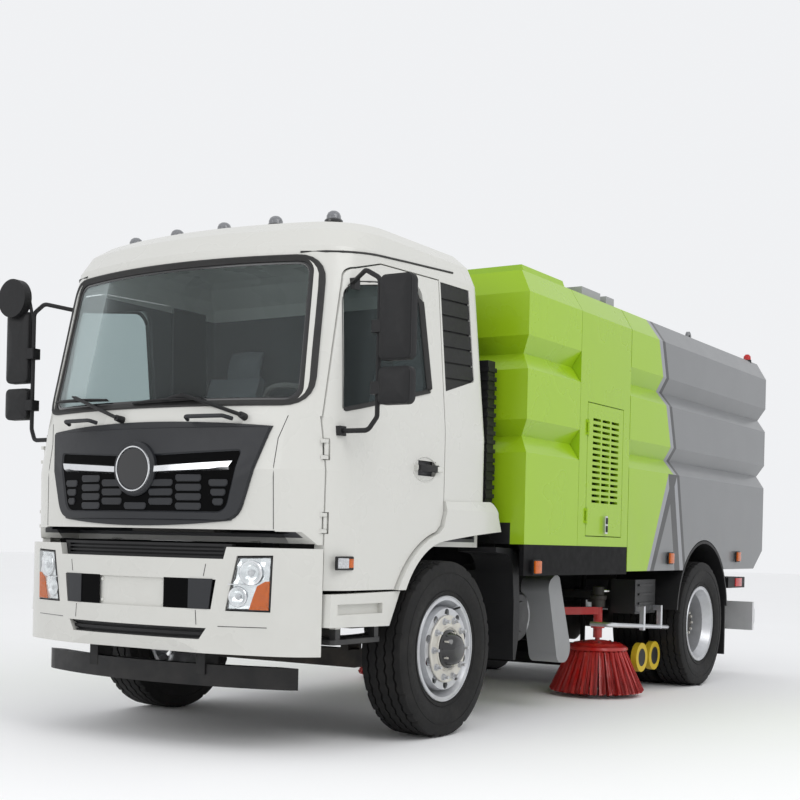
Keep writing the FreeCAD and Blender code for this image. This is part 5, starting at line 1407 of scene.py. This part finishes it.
def add_bumper_openings(shape):
    """Near black square of painted shade in a deep opening, and smooth dark cover beside the plate, on both
    sides.
    """
    skin = skin_of("front_bumper")
    # the first row is painted shade: a near black sheet in the deep opening
    for finish_name, low_x, high_x, slant, lift in (("void_black", 0.232, 0.388, 0.0, 0.0006),
                                                    ("panel_black", 0.388, 0.508, 0.022, 0.0040)):
        shape.use(finish_name)
        for side in (1, -1):
            rings = []
            for share in (0.0, 0.2, 0.4, 0.6, 0.8, 1.0):
                x = low_x + (high_x - low_x) * share
                top, low = front_points(skin, [(side * (x + slant * share), 0.919), (side * x, 0.741)], 0.0)
                edges = [top.lerp(low, 0.06), top.lerp(low, 0.94)]
                rings.append([edge + AHEAD * lift for edge in edges]
                             + [edge - AHEAD * 0.003 for edge in reversed(edges)])
            shape.loops(rings)


def add_roof_lamp(shape, place):
    """Smoked dome of a roof marker lamp on its rubber foot."""
    shape.use("gloss_black")
    shape.lathe([(-0.004, 0), (-0.004, 0.052), (0.008, 0.052), (0.014, 0.047), (0.016, 0)], place, UP, 28)
    shape.use("smoked")
    shape.lathe([(0.014, 0), (0.014, 0.041), (0.034, 0.040), (0.050, 0.033), (0.060, 0.020), (0.065, 0)],
                place, UP, 28)


# Body, brushes and cabin


def add_side_marker(shape, side, y, z):
    """Square amber marker lamp with its black base on the body side."""
    x = side * BODY_HALF_WIDTH
    shape.use("moulded_black")
    shape.side_block(side, x, (0.002, 0.010), (y, z), (0.050, 0.047), 0.004)
    shape.use("amber")
    shape.side_block(side, x, (-0.004, 0.024), (y, z), (0.043, 0.040), 0.007)


def add_door_lock(shape, side, y, z):
    """Paddle latch in a dished plate."""
    x = side * BODY_HALF_WIDTH
    shape.use("aluminium")
    shape.side_block(side, x, (0.001, 0.006), (y, z), (0.019, 0.062), 0.004)
    shape.use("moulded_black")
    for middle in (-0.028, 0.028):
        shape.side_block(side, x, (-0.004, 0.011), (y, z + middle), (0.013, 0.022), 0.005)


def add_tail_lamp(shape, side):
    """Rear lamp lenses that face backwards, three to a side, and a side reflector."""
    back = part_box("lamps")[1][1]
    for number, finish_name in enumerate(("amber", "red_lens", "clear_lens")):
        place = Vector((side * (1.045 + 0.060 * number), back, 0.838))
        shape.use(finish_name)
        shape.lathe([(-0.002, 0), (-0.002, 0.026), (0.010, 0.025), (0.016, 0.018), (0.019, 0)],
                    place, -AHEAD, 24)
    shape.use("red_lens")
    shape.side_block(side, side * 1.200, (0.0, 0.012), (4.970, 0.839), (0.085, 0.037), 0.004)


def bristles(name, body, side):
    """Ring of flared bristle bundles; each bundle is a repeat of one bristle with small turns."""
    repeat = Repeat("bristle_bundles")
    count = repeat.size("Bristles in a bundle", 34, "NodeSocketInt")
    spread = repeat.size("Bundle radius", 0.017)
    thickness = repeat.size("Bristle radius", 0.0024)
    length = repeat.size("Bristle length", 0.322)
    dots = repeat.node("GeometryNodePoints", {}, {"Count": count})
    index = Reading(repeat, repeat.node("GeometryNodeInputIndex").outputs[0])
    angle = index * GOLDEN_ANGLE
    reach = (index / count).root() * spread
    place = repeat.node("ShaderNodeCombineXYZ", {}, {0: reach * angle.cosine(), 1: reach * angle.sine()})
    spots = repeat.node("GeometryNodeSetPosition", {}, {"Geometry": dots.outputs[0],
                        "Position": place.outputs[0]})
    bristle = repeat.node("GeometryNodeMeshCone", {"fill_type": "NGON"}, {"Vertices": 4, "Radius Top": 0.0017,
                          "Radius Bottom": thickness, "Depth": length})
    lean = repeat.node("FunctionNodeRandomValue", {"data_type": "FLOAT_VECTOR"},
                       {"Min": (-0.04, -0.055, 0.0), "Max": (0.04, 0.055, 3.0), "Seed": 7})
    bundle = repeat.copies(spots.outputs[0], bristle.outputs["Mesh"], lean.outputs[0])
    repeat.finish(bundle, finishes["bristle"])
    middle = spot(side * BRUSH_X, BRUSH_Y, 0)
    places, directions = [], []
    for tufts, root_radius, tip_radius, top in ((34, 0.206, 0.340, 0.332), (28, 0.170, 0.280, 0.328)):
        for number in range(tufts):
            around = FULL_TURN * number / tufts + 0.11 * side
            out = Vector((math.cos(around), math.sin(around), 0))
            start = middle + UP * top + out * root_radius
            end = middle + UP * 0.035 + out * tip_radius
            places.append(start)
            directions.append((end - start).normalized())
    set_piece(name, repeat.run(places, directions), body)


def add_brush_plate(shape, side):
    """Domed red disc with a rolled edge, and clamp bolts on its hub."""
    middle = spot(side * BRUSH_X, BRUSH_Y, 0)
    shape.use("red")
    shape.lathe([(0.405, 0), (0.405, 0.075), (0.398, 0.100), (0.386, 0.190), (0.370, 0.226), (0.352, 0.232),
                 (0.345, 0.226), (0.342, 0.15), (0.342, 0)], middle, UP, 48)
    shape.use("iron")
    for place in ring_points(middle + UP * 0.39, Vector((1, 0, 0)), Vector((0, 1, 0)), 0.118, 6):
        shape.rod(place, place + UP * 0.022, 0.011, 6)


def add_brush_motor(shape, side):
    """Hydraulic motor with its cap and ports on a brush arm, and a red collar below it."""
    shape.use("iron")
    shape.lathe([(0.0, 0), (0.0, 0.050), (0.05, 0.052), (0.058, 0.062), (0.085, 0.062), (0.090, 0.045),
                 (0.150, 0.042), (0.158, 0.030), (0.160, 0)], spot(side * BRUSH_X, BRUSH_Y, 0.668), UP, 28)
    shape.use("bright")
    ports = spot(side * BRUSH_X, BRUSH_Y, 0.790)
    for turn in (0.6, 2.2):
        out = Vector((math.cos(turn) * side, math.sin(turn), 0))
        shape.rod(ports + out * 0.030, ports + out * 0.062, 0.012, 6)
        shape.rod(ports + out * 0.060, ports + out * 0.080, 0.009, 12)
    shape.use("red")
    shape.turned([(-0.012, 0.034), (-0.012, 0.052), (0.012, 0.052), (0.012, 0.034)],
                 spot(side * BRUSH_X, BRUSH_Y, 0.520), UP, 32)


def add_pad(shape, corner, along, up, crown, size):
    """Stuffed pad with two sewn channels and raised bolsters; size is its width, length and thickness."""
    width, length, thickness = size
    across = Vector((1, 0, 0))
    shares = [step / 8 for step in range(9)]
    rings = []
    for row in shares:
        edge = math.sin(math.pi * min(max(row, 0.04), 0.96)) ** 0.35
        start = corner + along * row * length
        ring = []
        for share in shares:
            fall = math.sin(math.pi * min(max(share, 0.03), 0.97)) ** 0.4
            channel = 0.010 if abs(share - 0.24) < 0.07 or abs(share - 0.76) < 0.07 else 0
            lift = thickness * fall * edge + crown * abs(2 * share - 1) ** 2.2 - channel
            ring.append(start + across * (share - 0.5) * width + up * lift)
        rings.append(ring + [start + across * (share - 0.5) * width * 0.94 for share in reversed(shares)])
    shape.loops(rings)


def add_seat(shape, side):
    """Cushion, back rest with side bolsters and head rest, with sewn channels."""
    x = side * 0.665
    floor = 1.150
    lean = Vector((0, 0.245, 1)).normalized()
    ahead = Vector((0, -1, 0.245)).normalized()
    shape.use("cloth")
    add_pad(shape, spot(x, -0.465, floor + 0.245), Vector((0, 1, 0.05)), UP, 0.030, (0.43, 0.50, 0.135))
    add_pad(shape, spot(x, 0.115, floor + 0.36), lean, ahead, 0.045, (0.42, 0.68, 0.115))
    add_pad(shape, spot(x, 0.305, floor + 1.035), lean, ahead, 0.0, (0.27, 0.185, 0.075))
    shape.use("moulded_black")
    shape.block(spot(x - 0.165, -0.410, floor + 0.001), spot(x + 0.165, 0.055, floor + 0.235), 0.02)
    for post in (-0.07, 0.07):
        shape.rod(spot(x + post, 0.290, floor + 0.99), spot(x + post, 0.305, floor + 1.06), 0.008, 10)


# Roof beacons and rain channels


def add_beacon(shape, side):
    """Small red warning lamp on the hopper roof edge."""
    place = spot(side * 1.13, 5.30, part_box("hopper_shell")[1][2] - 0.105)
    shape.use("moulded_black")
    shape.lathe([(0, 0), (0, 0.040), (0.030, 0.038), (0.034, 0)], place, UP, 20)
    shape.use("red_lens")
    shape.lathe([(0.030, 0), (0.030, 0.034), (0.062, 0.032), (0.080, 0.018), (0.084, 0)], place, UP, 20)


def add_roof_trim(shape):
    """Black rain channels along both edges of the cab roof."""
    shape.use("rubber")
    skin = skin_of("cab_shell")
    for side in (1, -1):
        points = [spot(side * 1.5, -1.02 + 0.06 * step, 2.642 + 0.004 * step) for step in range(20)]
        places, normals = laid_on(skin, points, (-side, 0, 0))
        shape.sweep([place + normal * 0.001 for place, normal in zip(places, normals)], 0.006, 8)


# Sizes that a designer would change


class SweeperSizes(bpy.types.PropertyGroup):
    tyre_width: bpy.props.FloatProperty(
        name="Tyre width", description="Width of a tyre over its side walls", default=0.275,
        min=0.20, max=0.32, subtype="DISTANCE", unit="LENGTH")
    tread_blocks: bpy.props.IntProperty(
        name="Tread blocks", description="Number of tread blocks round a tyre", default=45, min=24, max=72)
    key_power: bpy.props.FloatProperty(
        name="Main light", description="Power of the main soft light", default=380.0, min=10.0, max=6000.0,
        subtype="POWER", unit="POWER")
    fill_power: bpy.props.FloatProperty(
        name="Fill light", description="Power of the light from the front", default=140.0, min=10.0,
        max=6000.0, subtype="POWER", unit="POWER")


def sizes():
    """The sizes set in the panel."""
    return bpy.context.scene.sweeper_sizes


class Builder(bpy.types.Operator):
    """Shared part of the operators below"""
    bl_options = {"REGISTER", "UNDO"}

    def execute(self, context):
        self.build()
        return {"FINISHED"}


class SWEEPER_OT_finishes(Builder):
    """Give every solid part its material"""
    bl_idname = "sweeper.finishes"
    bl_label = "Finishes"

    def build(self):
        make_finishes()
        for name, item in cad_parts.items():
            plain = name.replace("_left", "").replace("_right", "")
            finish_name = CAD_FINISHES.get(name, CAD_FINISHES.get(plain, "chassis_black"))
            item.data.materials.clear()
            item.data.materials.append(finishes[finish_name])
            if name != "windscreen":
                smooth(item.data, 30)


class SWEEPER_OT_tyres(Builder):
    """Build the treaded tyres of all wheels"""
    bl_idname = "sweeper.tyres"
    bl_label = "Tyres"

    def build(self):
        for name, _ in SIDES:
            shape = Shape("tyre")
            add_tyre(shape, middle_of("front_tyre_" + name).x, FRONT_AXLE_Y)
            shape.piece("tyre_tread_front_" + name, "front_wheel_" + name, ("front_tyre_" + name,), 24)
            low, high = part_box("rear_tyres_" + name)
            shape = Shape("tyre")
            half = sizes().tyre_width / 2
            for x in (low[0] + half, high[0] - half):
                add_tyre(shape, x, REAR_AXLE_Y)
            shape.piece("tyre_tread_rear_" + name, "rear_wheel_" + name, ("rear_tyres_" + name,), 24)


class SWEEPER_OT_wheels(Builder):
    """Build hubs, nuts and rim lips"""
    bl_idname = "sweeper.wheels"
    bl_label = "Wheels"

    def build(self):
        for name, side in SIDES:
            shape = Shape("hub_cream")
            add_front_hub(shape, side)
            add_rim_trim(shape, middle_of("front_tyre_" + name).x, FRONT_AXLE_Y, side, 0.09)
            shape.piece("hub_front_" + name, "front_wheel_" + name)
            shape = Shape("iron")
            add_rear_hub(shape, side)
            low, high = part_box("rear_tyres_" + name)
            outer = side * (max(abs(low[0]), abs(high[0])) - sizes().tyre_width / 2)
            add_rim_trim(shape, outer, REAR_AXLE_Y, side, -0.05)
            shape.piece("hub_rear_" + name, "rear_wheel_" + name)
            nut_ring("nuts_front_" + name, "front_wheel_" + name, FRONT_HUB_FACE, FRONT_AXLE_Y, side)
            nut_ring("nuts_rear_" + name, "rear_wheel_" + name, REAR_NUT_FACE, REAR_AXLE_Y, side)


class SWEEPER_OT_cab(Builder):
    """Build the trim, glass seals, lamps and mirrors of the cab"""
    bl_idname = "sweeper.cab"
    bl_label = "Cab trim"

    def build(self):
        shape = Shape("rubber")
        add_screen_surround(shape)
        add_roof_trim(shape)
        shape.piece("screen_seal", "cab")
        shape = Shape("moulded_black")
        add_grille(shape)
        shape.piece("grille_trim", "cab", (), 30)
        shape = Shape("gloss_black")
        add_front_lines(shape, skin_of("cab_shell"), [CORNER_SEAM])
        shape.piece("cab_corner_seams", "cab")
        shape = Shape("moulded_black")
        add_wiper(shape, (0.628, 1.752), (0.251, 1.868), (-0.099, 1.838), (0.362, 1.852))
        add_wiper(shape, (-0.165, 1.752), (-0.599, 1.890), (-0.855, 1.886), (-0.323, 1.866))
        shape.piece("wipers", "cab")
        shape = Shape("gloss_black")
        for x, y in ((0.0, -0.719), (0.368, -0.709), (-0.368, -0.709), (0.740, -0.668), (-0.740, -0.668)):
            place, _ = laid_on(skin_of("roof_lamps"), [spot(x, y, 3.2)], (0, 0, -1))
            add_roof_lamp(shape, place[0] - Vector((0, 0, 0.066)))
        shape.piece("roof_marker_domes", "cab", ("roof_lamps",))
        for name, side in SIDES:
            shape = Shape("rubber")
            add_window_surround(shape, side, name)
            add_handle(shape, side)
            add_indicator(shape, side)
            shape.piece("door_trim_" + name, "cab_door_" + name)
            shape = Shape("moulded_black")
            add_mirror(shape, side)
            shape.piece("mirror_shells_" + name, "cab_door_" + name)


class SWEEPER_OT_front(Builder):
    """Build the lamps and lines of the front bumper"""
    bl_idname = "sweeper.front"
    bl_label = "Bumper trim"

    def build(self):
        for name, side in SIDES:
            for piece_name, finish_name, add_part, angle in (
                    ("headlamp_", "gloss_black", add_headlamp, 8),
                    ("headlamp_cover_", "lamp_glass", add_lamp_cover, 32)):
                shape = Shape(finish_name)
                add_part(shape)
                if side < 0:
                    shape.flipped()
                shape.piece(piece_name + name, "chassis", (), angle)
        shape = Shape("white")
        add_front_plate(shape)
        add_bumper_openings(shape)
        add_slot_back(shape)
        add_front_lines(shape, skin_of("front_bumper"), BUMPER_SEAMS)
        shape.piece("bumper_trim", "chassis")


class SWEEPER_OT_body(Builder):
    """Build markers, latches, beacons and rear lamps"""
    bl_idname = "sweeper.body"
    bl_label = "Body trim"

    def build(self):
        shape = Shape("amber")
        for _, side in SIDES:
            add_side_marker(shape, side, 0.857, 0.985)
            add_tail_lamp(shape, side)
        shape.piece("side_markers", "chassis")
        shape = Shape("amber")
        for _, side in SIDES:
            add_side_marker(shape, side, 3.144, 1.048)
            add_side_marker(shape, side, 4.743, 1.067)
            add_beacon(shape, side)
        shape.piece("hopper_markers", "hopper")
        for name, side in SIDES:
            shape = Shape("bright")
            add_door_lock(shape, side, 1.921, 1.275)
            shape.piece("access_latches_" + name, "engine_door_" + name)


class SWEEPER_OT_brushes(Builder):
    """Build the bristles, plates and motors of both side brushes"""
    bl_idname = "sweeper.brushes"
    bl_label = "Side brushes"

    def build(self):
        for name, side in SIDES:
            bristles("bristles_" + name, "brush_head_" + name, side)
            shape = Shape("red")
            add_brush_plate(shape, side)
            shape.piece("brush_disc_" + name, "brush_head_" + name)
            shape = Shape("iron")
            add_brush_motor(shape, side)
            shape.piece("brush_motor_" + name, "swing_arm_" + name)


class SWEEPER_OT_cabin(Builder):
    """Build the padded seats"""
    bl_idname = "sweeper.cabin"
    bl_label = "Cabin"

    def build(self):
        shape = Shape("cloth")
        for _, side in SIDES:
            add_seat(shape, side)
        seats = shape.piece("seat_pads", "cab", ("seats",))


class SWEEPER_OT_stage(Builder):
    """Set the floor, the soft lights and the camera"""
    bl_idname = "sweeper.stage"
    bl_label = "Stage"

    def build(self):
        floor_mesh = bpy.data.meshes.new("floor")
        reach = 60.0
        corners = [(-reach, -reach, 0), (reach, -reach, 0), (reach, reach, 0), (-reach, reach, 0)]
        floor_mesh.from_pydata(corners, [], [(0, 1, 2, 3)])
        floor = bpy.data.objects.new("floor", floor_mesh)
        bpy.context.scene.collection.objects.link(floor)
        pale = Finish("pale_floor")
        pale.color(pale.mix(pale.noise(0.6, 2.0), (0.93, 0.93, 0.93), (0.95, 0.95, 0.95)))
        pale.rough(0.85)
        floor_mesh.materials.append(pale.material)
        world = bpy.data.worlds.new("studio")
        bpy.context.scene.world = world
        world.use_nodes = True
        backdrop = world.node_tree.nodes["Background"]
        backdrop.inputs["Color"].default_value = (0.97, 0.98, 1.0, 1.0)
        backdrop.inputs["Strength"].default_value = 0.90
        bpy.context.scene.view_settings.view_transform = "Standard"
        self.add_light("key_light", (9.0, -5.0, 9.5), 7.0, sizes().key_power)
        self.add_light("fill_light", (-2.0, -12.0, 5.0), 6.0, sizes().fill_power)
        self.add_camera()

    def add_light(self, name, place, size, power):
        light = bpy.data.lights.new(name, "AREA")
        light.shape = "DISK"
        light.size = size
        light.energy = power
        item = bpy.data.objects.new(name, light)
        bpy.context.scene.collection.objects.link(item)
        item.location = place
        item.rotation_euler = (Vector((0, 0, 1.2)) - Vector(place)).to_track_quat("-Z", "Y").to_euler()

    def add_camera(self):
        yaw, pitch, roll = (math.radians(angle) for angle in (CAMERA_YAW, CAMERA_PITCH, CAMERA_ROLL))
        forward = Vector((-math.sin(yaw) * math.cos(pitch), math.cos(yaw) * math.cos(pitch), math.sin(pitch)))
        level = forward.cross(UP).normalized()
        upright = level.cross(forward)
        right = level * math.cos(roll) + upright * math.sin(roll)
        up = right.cross(forward)
        lens = bpy.data.cameras.new("camera")
        lens.sensor_width = SENSOR_MM
        lens.lens = FOCAL_PIXELS / IMAGE_PIXELS * SENSOR_MM
        lens.shift_x = (IMAGE_PIXELS / 2 - CENTER_PIXEL[0]) / IMAGE_PIXELS
        lens.shift_y = (CENTER_PIXEL[1] - IMAGE_PIXELS / 2) / IMAGE_PIXELS
        lens.clip_end = 200.0
        camera = bpy.data.objects.new("camera", lens)
        bpy.context.scene.collection.objects.link(camera)
        turn = Matrix((right, up, -forward)).transposed().to_4x4()
        turn.translation = CAMERA_PLACE
        camera.matrix_world = turn
        bpy.context.scene.camera = camera


class SWEEPER_PT_panel(bpy.types.Panel):
    bl_label = "Street Sweeper"
    bl_idname = "SWEEPER_PT_panel"
    bl_space_type = "VIEW_3D"
    bl_region_type = "UI"
    bl_category = "Sweeper"

    def draw(self, context):
        for name in ("tyre_width", "tread_blocks", "key_power", "fill_power"):
            self.layout.prop(context.scene.sweeper_sizes, name)
        for step in BUILD_STEPS:
            self.layout.operator(step.bl_idname)


BUILD_STEPS = (SWEEPER_OT_finishes, SWEEPER_OT_tyres, SWEEPER_OT_wheels, SWEEPER_OT_cab, SWEEPER_OT_front,
               SWEEPER_OT_body, SWEEPER_OT_brushes, SWEEPER_OT_cabin, SWEEPER_OT_stage)
CLASSES = (SweeperSizes, SWEEPER_PT_panel) + BUILD_STEPS


def register():
    for item in CLASSES:
        bpy.utils.register_class(item)
    bpy.types.Scene.sweeper_sizes = bpy.props.PointerProperty(type=SweeperSizes)


def unregister():
    del bpy.types.Scene.sweeper_sizes
    for item in reversed(CLASSES):
        bpy.utils.unregister_class(item)


def main():
    register()
    for step in BUILD_STEPS:
        group, action = step.bl_idname.split(".")
        getattr(getattr(bpy.ops, group), action)()


if __name__ == "__main__":
    main()
